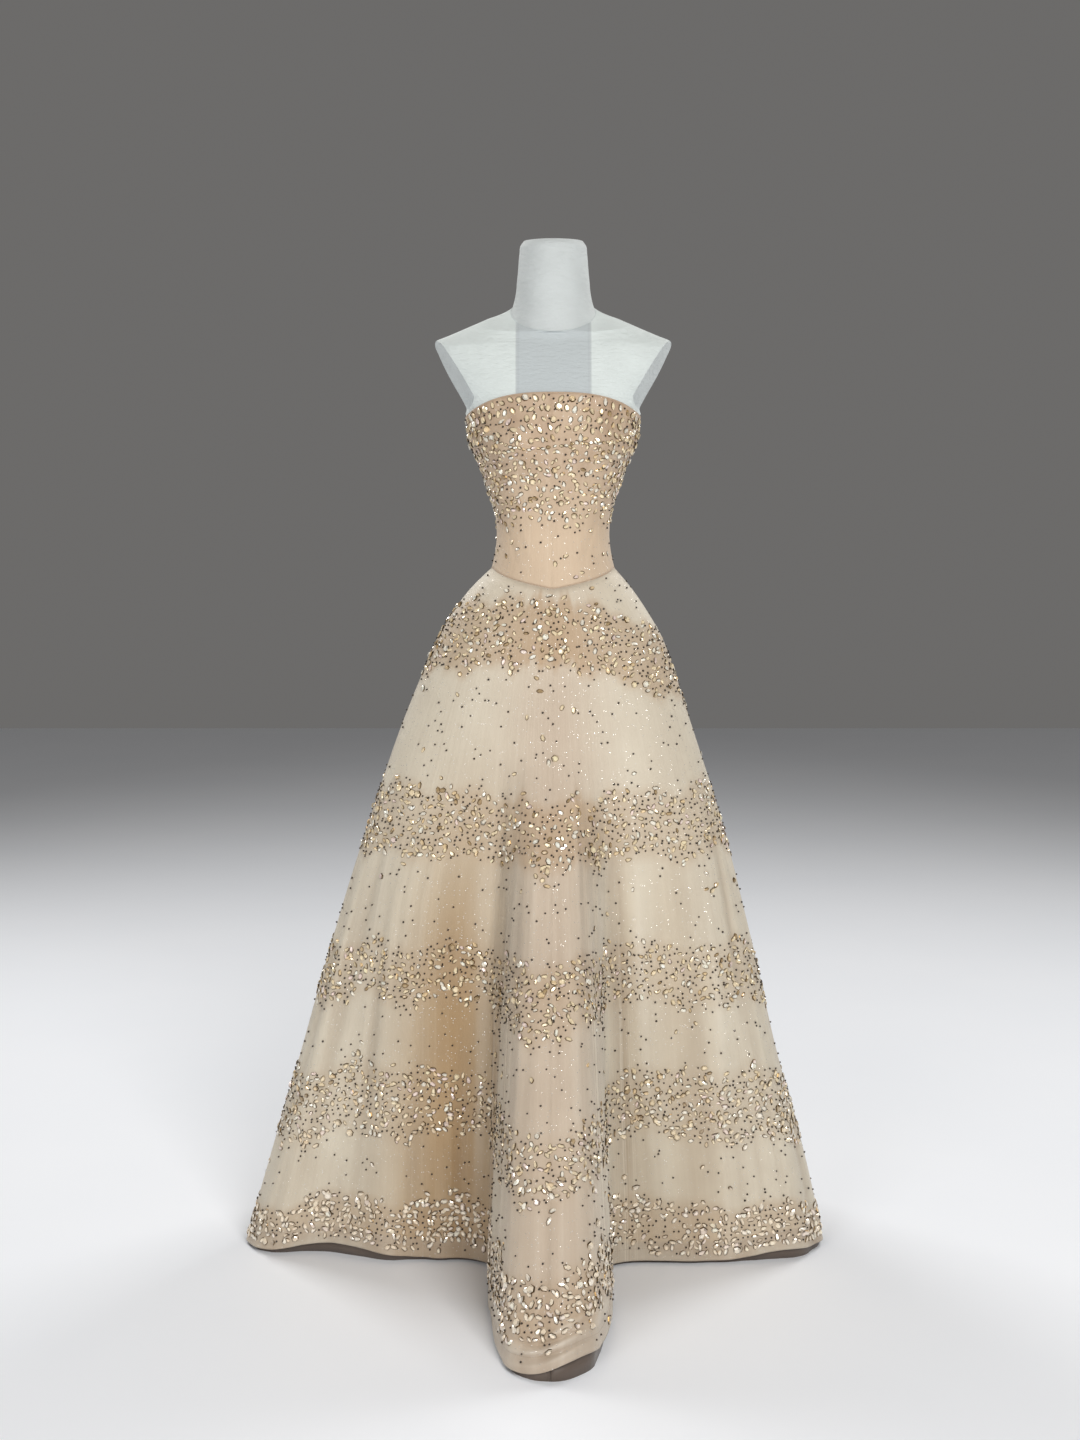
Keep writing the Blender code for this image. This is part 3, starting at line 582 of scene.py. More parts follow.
class GownSettings(bpy.types.PropertyGroup):
    """Sizes and colours that a user would change."""
    cream: colour("Cream tulle", "Outer tulle on the side panels", (0.720, 0.652, 0.522))
    nude: colour("Nude tulle", "Outer tulle on the pipe folds", (0.610, 0.500, 0.385))
    # Valley colour: partly the lining through the net, partly painted shade and bounced light
    tan: colour("Tan valleys", "Outer tulle deep in the folds", (0.420, 0.270, 0.125))
    ground: colour("Band ground", "Cloth under the beaded bands", (0.500, 0.345, 0.205))
    bodice_top: colour("Bodice top", "Cloth under the bodice's beading", (0.430, 0.292, 0.192))
    bodice_waist: colour("Bodice waist", "Plain cloth over the waist seam", (0.680, 0.525, 0.370))
    lining: colour("Underskirt", "Taupe underskirt", (0.150, 0.112, 0.088))
    form_white: colour("Form cover", "Cover of the dress form", (0.700, 0.760, 0.745))
    form_neck: colour("Form neck", "Cover of the form's neck", (0.600, 0.640, 0.640))
    form_grey: colour("Form caps", "Armhole caps and front band of the form", (0.480, 0.525, 0.540))
    bead_brown: colour("Beads", "Small dark beads", (0.022, 0.014, 0.008))
    setting_gold: colour("Settings", "Metal settings of the stones", (0.240, 0.150, 0.062))
    stone_length: length("Stone length", "Mean length of a stone on the skirt", 0.0104)
    large_stone_length: length("Large stone length", "Mean length of a stone at the top edge",
                               0.0122)
    stone_spacing: length("Spacing", "Distance between neighbouring stones and beads", 0.0099)
    large_spacing: length("Large spacing", "Distance between stones at the top edge", 0.0140)
    bead_size: length("Bead size", "Diameter of a bead", 0.0036)
    glitter: FloatProperty(name="Glitter", description="Share of the cloth that sparkles",
                           subtype="FACTOR", min=0.0, max=1.0, default=0.035)
    seed: IntProperty(name="Seed", description="Start of the scatter's random numbers", default=11)


def settings():
    """The sizes and colours that the panel shows."""
    return bpy.context.scene.gown_settings


# Shapes

def smooth(low, high, value):
    """0 below low and 1 above high, with a smooth S curve between."""
    t = np.clip((value - low) / (high - low), 0.0, 1.0)
    return t * t * (3 - 2 * t)


def mix(first, second, share):
    """Straight blend: first + (second - first) share."""
    return first + (second - first) * share


def unit(vectors):
    """Vectors scaled to length 1."""
    return vectors / np.linalg.norm(vectors, axis=-1, keepdims=True)


def turns(count):
    """Angles of one full turn in even steps, 2 pi k / count."""
    return 2 * math.pi * np.arange(count) / count


def spaced(ends, counts):
    """Values spread evenly over spans that follow one another."""
    spans = [np.linspace(*span)[1:] for span in zip(ends, ends[1:], counts)]
    return np.concatenate([ends[:1], *spans])


def read_sections(table, heights):
    """Columns 1 onwards of a section table at the given heights.

    Each column is a cubic Hermite curve whose slopes are its central differences.
    """
    table = np.array(table)
    heights = np.asarray(heights, dtype=float)
    known = table[:, 0]
    columns = []
    for column in table.T[1:]:
        slopes = np.gradient(column, known)
        place = np.clip(np.searchsorted(known, heights) - 1, 0, len(known) - 2)
        span = known[place + 1] - known[place]
        t = np.clip((heights - known[place]) / span, 0.0, 1.0)
        value = (column[place] * (1 + 2 * t) * (1 - t) ** 2
                 + column[place + 1] * t ** 2 * (3 - 2 * t)
                 + slopes[place] * span * t * (1 - t) ** 2
                 - slopes[place + 1] * span * t ** 2 * (1 - t))
        columns.append(value)
    return columns


def top_edge_height(angle):
    """Side height plus a rise times cos squared in front, minus a drop times cos squared behind."""
    front = np.maximum(np.cos(angle), 0.0)
    back = np.maximum(-np.cos(angle), 0.0)
    return TOP_EDGE_SIDE + TOP_EDGE_FRONT_RISE * front ** 2 - TOP_EDGE_BACK_DROP * back ** 2


def waist_seam_height(angle):
    """Level all round, less a V that deepens linearly from its ends to the centre front."""
    from_front = np.abs(np.remainder(angle + np.pi, 2 * np.pi) - np.pi)
    return WAIST_SEAM_SIDE - WAIST_SEAM_V * np.maximum(1 - from_front / WAIST_SEAM_V_ANGLE, 0.0)


def neck_seam_height(angle):
    """A level ring tilted down towards the front: height minus tilt times cos."""
    return NECK_SEAM - NECK_SEAM_TILT * np.cos(angle)


def torso_sections(angle, height):
    """x and y of squared ellipses |x/w|^n + |y/d|^n = 1, with two Gaussian cups in front."""
    width, front, back, square = read_sections(FORM_SECTIONS, height)
    side = np.sin(angle)
    ahead = np.cos(angle)
    x = width * np.sign(side) * np.abs(side) ** (2 / square)
    depth = np.where(ahead > 0, front, back)
    y = -depth * np.sign(ahead) * np.abs(ahead) ** (2 / square)
    cups = np.exp(-((np.abs(x) - CUP_X) / CUP_SPREAD_X) ** 2
                  - ((height - CUP_Z) / CUP_SPREAD_Z) ** 2)
    return x, y - CUP_DEPTH * cups * np.clip(ahead * CUP_SIDE_FADE, 0.0, 1.0)


def armhole_reach(angle, y, height):
    """Largest |x| beside the flat armhole cut: a plane that leans out and turns with y.

    It is let out by the square of how far the height falls short of the gown's edge, so that
    the cut begins just over that edge.
    """
    reach = ARMHOLE_X + ARMHOLE_RISE * (height - ARMHOLE_Z) + ARMHOLE_TURN * y
    below = 1 - (height - top_edge_height(angle)) / ARMHOLE_FREE
    return reach + ARMHOLE_SLACK * np.maximum(below, 0.0) ** 2


def torso_points(angle, height):
    """Points on the dress form: the torso sections, cut flat at the armholes."""
    x, y = torso_sections(angle, height)
    reach = armhole_reach(angle, y, height)
    x = np.clip(x, -reach, reach)
    return np.stack([x, y, height + 0 * x], axis=-1)


def torso_normals(angle, height):
    """Unit normals of the torso: the cross product of its steps in angle and in height."""
    step = 0.002
    round_it = torso_points(angle + step, height) - torso_points(angle - step, height)
    up = torso_points(angle, height + step) - torso_points(angle, height - step)
    return unit(np.cross(round_it, up))


def form_height(level, angle):
    """Height of the form at a level: 0 to 1 below the waist seam, 1 to 2 under the bodice,
    2 to 3 from the gown's top edge to the shoulder, as straight blends between those edges."""
    seam = waist_seam_height(angle)
    top = top_edge_height(angle)
    below = mix(FORM_LOW, seam, level)
    dressed = mix(seam, top, level - 1)
    height = mix(TOP_EDGE_SIDE, SHOULDER_TOP, level - 2)
    share = (height - TOP_EDGE_SIDE) / (NECK_SEAM - TOP_EDGE_SIDE)
    blended = mix(top, neck_seam_height(angle), share)
    above = blended + (np.maximum(height, top + CHEST_ROW_RISE) - blended) * (1 - share ** 4) / 2
    return np.where(level < 1, below, np.where(level <= 2, dressed, above))


def neck_seam_ring(angle):
    """The tilted oval x = w sin, y = -d cos at the foot of the neck."""
    x = NECK_SEAM_HALF_WIDTH * np.sin(angle)
    y = -NECK_SEAM_HALF_DEPTH * np.cos(angle)
    return np.stack([x, y, neck_seam_height(angle)], axis=-1)


def armhole_angles(levels, columns):
    """Angles of each row's columns, with two columns on the edges of the armhole cut.

    On half the torso the cut runs where |x| of the section passes its reach; the angles are
    spread evenly before, on and behind it, and mirrored.
    """
    fine = np.linspace(0, math.pi, 1441)
    height = form_height(levels[:, None], fine[None])
    x, y = torso_sections(fine[None] + 0 * height, height)
    over = np.abs(x) > armhole_reach(fine[None], y, height)
    cut = over.any(axis=1)
    first = fine[np.argmax(over, axis=1)]
    last = fine[::-1][np.argmax(over[:, ::-1], axis=1)]
    row = np.arange(len(levels))
    first = np.interp(row, row[cut], first[cut])[:, None]
    last = np.interp(row, row[cut], last[cut])[:, None]
    even = np.linspace(0, 1, columns + 1)[None]
    right = np.concatenate([first * even, (first + (last - first) * even)[:, 1:],
                            (last + (math.pi - last) * even)[:, 1:]], axis=1)
    return np.concatenate([right, 2 * math.pi - right[:, -2:0:-1]], axis=1), cut


def catmull(values, step):
    """A closed Catmull-Rom curve through values along axis 1, read at fractional steps."""
    count = values.shape[1]
    at = np.floor(step).astype(int)
    t = (step - at)[None, :, None]
    before, here, after, beyond = (values[:, (at + k) % count] for k in (-1, 0, 1, 2))
    return 0.5 * (2 * here + (after - before) * t
                  + (2 * before - 5 * here + 4 * after - beyond) * t ** 2
                  + (3 * here - before - 3 * after + beyond) * t ** 3)


def waist_angle(step):
    """Angle at the waist of a fractional fold number, straight between the folds."""
    known = np.radians([row[1] for row in SKIRT_FOLDS] + [360])
    return np.interp(step, np.arange(FOLD_COUNT + 1), known)


def skirt_ring(angle, height):
    """x and y of the skirt without folds: ovals with four half axes."""
    left, right, front, back = read_sections(SKIRT_SECTIONS, height)
    side = np.sin(angle)
    ahead = np.cos(angle)
    x = np.where(side > 0, right, left) * side
    y = -np.where(ahead > 0, front, back) * ahead
    return np.stack([x, y], axis=-1)


def hem_height(angle):
    """Hem height: a constant plus a Gaussian for each place where the hem is lifted."""
    height = HEM_HEIGHT + 0 * angle
    for centre, lift, spread in HEM_LIFTS:
        away = np.remainder(np.degrees(angle) - centre + 180, 360) - 180
        height = height + lift * np.exp(-(away / spread) ** 2)
    return height


def skirt_surface(share, step, lifted):
    """Outer points of the skirt at shares of the way down and at fold steps.

    The plain ring, plus each fold's push to its hem point grown with the power of the depth
    below its start and carried round on a closed curve, plus the waist's own offset, which
    dies away exponentially. The outer hem is lifted; the underskirt's lies on the floor.
    """
    angle = waist_angle(step)
    fold_angle = np.radians([row[1] for row in SKIRT_FOLDS])
    hem_point = np.array([row[2:4] for row in SKIRT_FOLDS])
    start = np.array([row[4] for row in SKIRT_FOLDS])
    push = hem_point - skirt_ring(fold_angle, 0 * fold_angle)
    seam = waist_seam_height(angle)
    out = torso_normals(angle, seam)[:, :2]
    waist = torso_points(angle, seam)[:, :2] + (SEAM_GAP + BODICE_WALL) * out
    gap_at_waist = waist - skirt_ring(angle, seam)

    def heights(where):
        top = waist_seam_height(where)
        hem = hem_height(where) if lifted else 0 * where
        return mix(top, hem, share[:, None])

    height = heights(angle)
    grown = np.clip((start - heights(fold_angle)) / start, 0.0, 1.0) ** FOLD_GROWTH
    pushed = catmull(push * grown[..., None], step)
    place = (skirt_ring(angle, height) + pushed
             + gap_at_waist * np.exp(-share / WAIST_BLEND)[:, None, None])
    return np.concatenate([place, height[..., None]], axis=-1)


def ring_normals(grid):
    """Outward unit normals of a closed grid whose rows go up."""
    along = np.roll(grid, -1, axis=1) - np.roll(grid, 1, axis=1)
    return unit(np.cross(along, np.gradient(grid, axis=0)))


def arc_lengths(grid):
    """Length along each row of a closed grid from column 0, with the closing step at the end."""
    steps = np.linalg.norm(np.roll(grid, -1, axis=1) - grid, axis=-1)
    return np.concatenate([np.zeros((len(grid), 1)), np.cumsum(steps, axis=1)], axis=1)


def slant_lengths(grid):
    """Length down each column of a grid whose rows go up, from its top row."""
    steps = np.linalg.norm(np.diff(grid, axis=0), axis=-1)
    down = np.cumsum(steps[::-1], axis=0)[::-1]
    return np.concatenate([down, np.zeros((1, grid.shape[1]))])


def arc_from(arc, step):
    """Signed distance along each row from a fractional step, which may differ by row."""
    columns = arc.shape[1] - 1
    at = np.remainder(step, FOLD_COUNT) * columns / FOLD_COUNT
    low = np.floor(at).astype(int)
    rows = np.arange(len(arc))
    centre = mix(arc[rows, low], arc[rows, low + 1], at - low)
    around = arc[:, -1:]
    return np.remainder(arc[:, :-1] - centre[:, None] + around / 2, around) - around / 2


def crease_depth(share, arc):
    """How far the skirt's creases push it in: a Gaussian across each, faded at its ends,
    and long low waves that are whole numbers of turns round the skirt."""
    depth = np.zeros(arc[:, :-1].shape)
    for fold, offset, lean, top, bottom, half_width, deep in CREASES:
        along = np.clip((share - top) / (bottom - top), 0.0, 1.0)
        away = arc_from(arc, FOLD[fold] + offset + lean * along)
        fade = (smooth(top, top + CREASE_COMES, share)
                * (1 - CREASE_LOSS * smooth(bottom - CREASE_GOES, bottom, share)))
        depth += deep * np.exp(-(away / half_width) ** 2) * fade[:, None]
    turn = turns(depth.shape[1])
    for waves, lean, phase, high in LONG_WAVES:
        depth += high * np.sin(waves * turn[None] + lean * share[:, None] * math.pi + phase) \
            * smooth(0.15, 0.6, share)[:, None]
    return depth


def hem_wrinkle_depth(arc, above_hem):
    """How far the level wrinkles push the hem in: a Gaussian across each and an even fade
    along it."""
    depth = np.zeros(above_hem.shape)
    for fold, offset, high, half_length, half_width, deep, tilt in HEM_WRINKLES:
        away = arc_from(arc, np.full(len(arc), FOLD[fold] + offset))
        across = (above_hem - high - tilt * away) / half_width
        depth += deep * np.exp(-across ** 2) * np.clip(1 - (away / half_length) ** 2, 0, 1) ** 2
    return depth


def band_strength(share, step):
    """1 inside a beaded band of the skirt and 0 outside, its edges soft and a little wavy."""
    share, step = np.broadcast_arrays(share, step)
    degrees = np.degrees(waist_angle(step))
    wave = BAND_WAVE * (np.sin(2.9 * step + 1.0) + 0.6 * np.sin(6.7 * step + 9.0 * share))
    strength = np.zeros(share.shape)
    for tops, bottoms in BANDS:
        top = np.interp(degrees, BAND_ANGLES, tops, period=360) + wave
        bottom = np.interp(degrees, BAND_ANGLES, bottoms, period=360) + wave
        inside = (smooth(top - BAND_SOFTNESS, top + BAND_SOFTNESS, share)
                  * (1 - smooth(bottom - BAND_SOFTNESS, bottom + BAND_SOFTNESS, share)))
        strength = np.maximum(strength, inside)
    return strength


def valley_strength(table, share, arc):
    """How deep in the named folds a point lies: a Gaussian that widens towards the hem."""
    strength = np.zeros(arc[:, :-1].shape)
    for fold, offset, half_width, start, high in table:
        away = arc_from(arc, np.full(len(arc), FOLD[fold] + offset))
        grown = smooth(start, start + SHADE_COMES, share)
        wide = half_width * mix(SHADE_WAIST_WIDTH, 1, share)
        strength = np.maximum(strength, high * np.exp(-(away / wide[:, None]) ** 2)
                              * grown[:, None])
    return strength


def skirt_cloth(share, per_fold):
    """The outer skirt as a closed grid, rows going up, with what its cloth looks like.

    Channels: x, y, z, step, share, arc, slant, above the hem, valley colour (partly painted
    shade), nude, ground (partly painted shade at the hem), painted pleat lines, crease (how far a
    crease pushes the cloth in; less than 0 on a ridge), which sets painted shade and highlights.
    """
    share = share[::-1]
    step = np.arange(FOLD_COUNT * per_fold) / per_fold
    base = skirt_surface(share, step, True)
    arc = arc_lengths(base)
    slant = slant_lengths(base)
    above = slant[:1] - slant
    depth = crease_depth(share, arc) + hem_wrinkle_depth(arc, above)
    depth *= smooth(0.0, SMOOTH_WAIST, share)[:, None]
    points = base - ring_normals(base) * depth[..., None]
    steps, shares = np.meshgrid(step, share)
    # Valley colour: partly the lining through the net, partly painted shade deep in the folds
    valley_shade_and_lining = valley_strength(VALLEY_SHADE_AND_LINING, share, arc)
    nude = valley_strength(NUDE_FOLDS, share, arc)
    high = 1 - smooth(0.25, 0.85, shares)
    # The extra ground on the lowest band is partly painted shade, darker towards the floor
    ends = (GROUND_TOP * (1 - smooth(0.14, 0.28, shares))
            + HEM_GROUND_AND_SHADE * smooth(0.86, 0.94, shares))
    ground = band_strength(shares, steps) * (GROUND_PLAIN + ends
                                             + high * (GROUND_HIGH + GROUND_PIPES * nude))
    looks = np.stack([steps, shares, arc[:, :-1], slant, above, valley_shade_and_lining, nude, ground,
                      valley_strength(PAINTED_PLEAT_LINES, share, arc), depth / CREASE_SHADED], axis=-1)
    return np.concatenate([points, looks], axis=-1)


CHANNELS = {"valley_shade_and_lining": 8, "nude": 9, "ground": 10, "painted_pleat_lines": 11, "crease": 12, "hem": 7}
STEP, SHARE, ARC, SLANT = 3, 4, 5, 6


def underskirt_cloth(share, per_fold):
    """The underskirt as a closed grid inside the outer skirt, with the same creases.

    Its outer side lies level inwards from the unlifted skirt by the outer wall and a space
    that opens from the waist down.
    """
    share = share[::-1]
    step = np.arange(FOLD_COUNT * per_fold) / per_fold
    base = skirt_surface(share, step, False)
    arc = arc_lengths(base)
    out = ring_normals(base)
    level = unit(out * (1, 1, 0))
    opened = np.minimum(share / UNDERSKIRT_SPACE_SHARE, 1)
    space = mix(UNDERSKIRT_SPACE_TOP, UNDERSKIRT_SPACE_HEM, opened)
    depth = (np.maximum(crease_depth(share, arc), -UNDERSKIRT_RIDGE)
             * smooth(0.0, SMOOTH_WAIST, share)[:, None])
    points = base - level * (SKIRT_WALL + space + SEAM_GAP)[:, None, None] - out * depth[..., None]
    points[..., 2] = base[..., 2]
    steps, shares = np.meshgrid(step, share)
    looks = np.stack([steps, shares, arc[:, :-1], slant_lengths(base)], axis=-1)
    return np.concatenate([points, looks], axis=-1)


def bodice_cloth(rows, columns):
    """The bodice as a closed grid: the torso moved out along its normals, less its creases.

    Channels: x, y, z, angle, share, arc, slant.
    """
    angles, shares = np.meshgrid(turns(columns), np.linspace(0, 1, rows))
    height = form_height(1 + shares, angles)
    base = torso_points(angles, height)
    out = torso_normals(angles, height)
    radius = np.hypot(base[..., 0], base[..., 1])
    depth = np.zeros(height.shape)
    for top_angle, top, low_angle, low, half_width, deep in BODICE_CREASES:
        along = np.clip((shares - low) / (top - low), 0.0, 1.0)
        centre = np.radians(mix(low_angle, top_angle, along))
        away = (np.remainder(angles - centre + math.pi, 2 * math.pi) - math.pi) * radius
        ends = smooth(low, low + 0.1, shares) * (1 - smooth(top - 0.1, top, shares))
        depth += deep * np.exp(-(away / half_width) ** 2) * ends
    points = base + out * (SEAM_GAP + BODICE_WALL - depth)[..., None]
    arc = arc_lengths(points)[:, :-1]
    return np.concatenate([points, np.stack([angles, shares, arc, slant_lengths(points)],
                                            axis=-1)], axis=-1)


def cut_out(grid, first, last, first_move, last_move):
    """Columns first to last of a closed grid, with each end moved in along its row.

    Each move is in metres, one for each row. The columns within TRIM_SPAN of an end are
    squeezed evenly so that the row keeps its shape.
    """
    picked = grid[:, np.arange(first, last + 1) % grid.shape[1]].copy()
    steps = np.linalg.norm(np.diff(picked[..., :3], axis=1), axis=-1)
    run = np.concatenate([np.zeros((len(picked), 1)), np.cumsum(steps, axis=1)], axis=1)
    picked[..., ARC] = run
    moved = (run + first_move[:, None] * np.maximum(1 - run / TRIM_SPAN, 0)
             - last_move[:, None] * np.maximum(1 - (run[:, -1:] - run) / TRIM_SPAN, 0))
    for row in range(len(picked)):
        known = picked[row].copy()
        for channel in range(picked.shape[2]):
            picked[row, :, channel] = np.interp(moved[row], run[row], known[:, channel])
    return picked


# Meshes

def put_mesh(name, points, groups, materials, smooth_shaded=True):
    """A mesh object at the origin from points (n, 3) and groups of (faces, material number)."""
    mesh = bpy.data.meshes.new(name)
    corners = np.concatenate([faces.ravel() for faces, _ in groups])
    sizes = np.concatenate([np.full(len(faces), faces.shape[1]) for faces, _ in groups])
    slots = np.concatenate([np.full(len(faces), slot) for faces, slot in groups])
    mesh.vertices.add(len(points))
    mesh.vertices.foreach_set("co", np.asarray(points, np.float32).ravel())
    mesh.loops.add(len(corners))
    mesh.loops.foreach_set("vertex_index", corners.astype(np.int32))
    mesh.polygons.add(len(sizes))
    starts = np.concatenate([[0], np.cumsum(sizes)[:-1]])
    mesh.polygons.foreach_set("loop_start", starts.astype(np.int32))
    mesh.polygons.foreach_set("material_index", slots.astype(np.int32))
    mesh.polygons.foreach_set("use_smooth", np.full(len(sizes), smooth_shaded))
    for finish in materials:
        mesh.materials.append(finish)
    mesh.update(calc_edges=True)
    mesh.validate()
    made = bpy.data.objects.new(name, mesh)
    bpy.context.collection.objects.link(made)
    return made


def put_values(piece, name, values):
    """One number for each vertex, kept as an attribute that a material reads."""
    layer = piece.data.attributes.new(name, "FLOAT", "POINT")
    layer.data.foreach_set("value", np.asarray(values, np.float32).ravel())


def put_uv(piece, u, v):
    """A UV map in metres over the cloth, one pair for each vertex."""
    mesh = piece.data
    corner = np.zeros(len(mesh.loops), np.int32)
    mesh.loops.foreach_get("vertex_index", corner)
    pairs = np.stack([np.ravel(u)[corner], np.ravel(v)[corner]], axis=-1)
    mesh.uv_layers.new(name="cloth").data.foreach_set("uv", pairs.astype(np.float32).ravel())


def grid_faces(rows, columns, closed=False):
    """Four-cornered faces of a grid of points, facing outwards where rows go up."""
    low = np.arange(rows - 1)[:, None] * columns
    near = np.arange(columns if closed else columns - 1)[None]
    far = (near + 1) % columns
    return np.stack([low + near, low + far, low + columns + far, low + columns + near],
                    axis=-1).reshape(-1, 4)


def put_cloth(name, grid, thickness, finish):
    """The cloth of a panel, for its solid: the grid as a surface, given a wall inwards."""
    rows, columns = grid.shape[:2]
    piece = put_mesh(name + "_cloth", grid[..., :3].reshape(-1, 3),
                     [(grid_faces(rows, columns), 0)], [finish])
    put_uv(piece, grid[..., ARC], grid[..., SLANT])
    wall = piece.modifiers.new("wall", "SOLIDIFY")
    wall.thickness = thickness
    wall.offset = -1
    wall.use_quality_normals = True
    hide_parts(name)
    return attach(piece, BODY)


def put_closed(name, rings, materials, slots=None):
    """A closed solid lofted through rings that go up, with a flat cap at each end."""
    rows, columns = rings.shape[:2]
    caps = np.stack([np.arange(columns)[::-1], (rows - 1) * columns + np.arange(columns)])
    sides = grid_faces(rows, columns, True)
    groups = [(sides, 0), (caps, 0)]
    if slots is not None:
        groups = [(sides[~slots], 0), (sides[slots], 1), (caps, 0)]
    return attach(put_mesh(name, rings.reshape(-1, 3), groups, materials), BODY)


def put_line(name, path, radius, finish, closed):
    """A round line along a path: circles square to its direction, capped where it ends."""
    if closed:
        along = np.roll(path, -1, axis=0) - np.roll(path, 1, axis=0)
    else:
        along = np.gradient(path, axis=0)
    along = unit(along)
    side = unit(np.cross(along, (0, 0, 1)))
    over = np.cross(side, along)
    turn = turns(LINE_SIDES)
    rings = (path[:, None] + radius * (np.cos(turn)[None, :, None] * side[:, None]
                                       - np.sin(turn)[None, :, None] * over[:, None]))
    if closed:
        faces = grid_faces(len(path) + 1, LINE_SIDES, True) % (len(path) * LINE_SIDES)
        piece = put_mesh(name, rings.reshape(-1, 3), [(faces, 0)], [finish])
        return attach(piece, BODY)
    return put_closed(name, rings, [finish])


# Small things set on the cloth

def read_grid(channels, row, column):
    """Channels of a closed grid at fractional rows and columns, straight between its points."""
    low = np.clip(np.floor(row).astype(int), 0, channels.shape[0] - 2)
    near = np.floor(column).astype(int)
    up = (row - low)[:, None]
    on = (column - near)[:, None]
    near %= channels.shape[1]
    far = (near + 1) % channels.shape[1]
    lower = channels[low, near] * (1 - on) + channels[low, far] * on
    upper = channels[low + 1, near] * (1 - on) + channels[low + 1, far] * on
    return lower * (1 - up) + upper * up


def with_frames(grid):
    """The grid with its normals and its level tangents as six further channels."""
    points = grid[..., :3]
    along = unit(np.roll(points, -1, axis=1) - np.roll(points, 1, axis=1))
    return np.concatenate([grid, ring_normals(points), along], axis=-1)


def lattice(grid, spacing, jitter, rng):
    """Fractional rows and columns of sites a spacing apart all over a closed grid.

    Sites lie in rings a spacing apart up the mean slant, evenly along each ring, every other
    ring moved on by half a spacing, and each site is moved by up to the jitter.
    """
    points = grid[..., :3]
    arc = arc_lengths(points)
    mean_slant = slant_lengths(points).mean(axis=1)[::-1]
    levels = np.arange(spacing / 2, mean_slant[-1], spacing)
    ring_rows = len(grid) - 1 - np.interp(levels, mean_slant, np.arange(len(grid)))
    rows = []
    columns = []
    column_numbers = np.arange(arc.shape[1])
    for number, row in enumerate(ring_rows):
        low = min(int(row), len(grid) - 2)
        ring = mix(arc[low], arc[low + 1], row - low)
        count = int(ring[-1] / spacing)
        place = np.arange(count) + 0.5 * (number % 2) + jitter * rng.uniform(-1, 1, count)
        columns.append(np.interp(np.remainder(place / count, 1) * ring[-1], ring,
                                 column_numbers))
        slack = jitter * spacing * len(grid) / mean_slant[-1]
        rows.append(row + slack * rng.uniform(-1, 1, count))
    return np.clip(np.concatenate(rows), 0, len(grid) - 1.001), np.concatenate(columns)


def across_to(along, out):
    """Unit directions nearest to some others that are square to the normals."""
    return unit(along - out * (along * out).sum(axis=-1, keepdims=True))


def seats(grid, row, column):
    """Places on a closed grid for small things: point, normal, tangent and the channels."""
    read = read_grid(with_frames(grid), row, column)
    out = unit(read[:, -6:-3])
    return {"point": read[:, :3], "out": out, "along": across_to(read[:, -3:], out),
            "looks": read[:, 3:-6]}


def chosen(seat, which):
    """The seats that a mask or index picks."""
    return {name: values[which] for name, values in seat.items()}


def joined_seats(several):
    """Several groups of seats as one."""
    return {name: np.concatenate([seat[name] for seat in several]) for name in several[0]}


def between(seat, first, last, around):
    """Which seats lie from one place to another along a closed cloth."""
    return np.remainder(seat["looks"][:, 0] - first, around) < last - first


def tilted(seat, spread, rng):
    """The seats with their normals leaning by a random amount."""
    lean = rng.normal(0, spread, (2, len(seat["out"]), 1))
    up = np.cross(seat["out"], seat["along"])
    out = unit(seat["out"] + lean[0] * seat["along"] + lean[1] * up)
    return {**seat, "out": out, "along": across_to(seat["along"], out)}


def placed(local, seat):
    """Local points (n, m, 3) in each seat's own axes: along, up the cloth, and outwards."""
    up = np.cross(seat["out"], seat["along"])
    return (seat["point"][:, None] + local[..., :1] * seat["along"][:, None]
            + local[..., 1:2] * up[:, None] + local[..., 2:] * seat["out"][:, None])


def repeated(faces, count, corners):
    """One thing's faces for each of count things with so many corners each."""
    return (faces[None] + corners * np.arange(count)[:, None, None]).reshape(-1, faces.shape[1])


def put_many(name, local, seat, groups, materials, smooth_shaded=True):
    """Many like things joined in one mesh, each in its own seat's axes.

    local holds each thing's points; groups holds one thing's faces with their material number.
    """
    count, corners = local.shape[:2]
    groups = [(repeated(faces, count, corners), slot) for faces, slot in groups]
    points = placed(local, seat).reshape(-1, 3)
    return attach(put_mesh(name, points, groups, materials, smooth_shaded), BODY)


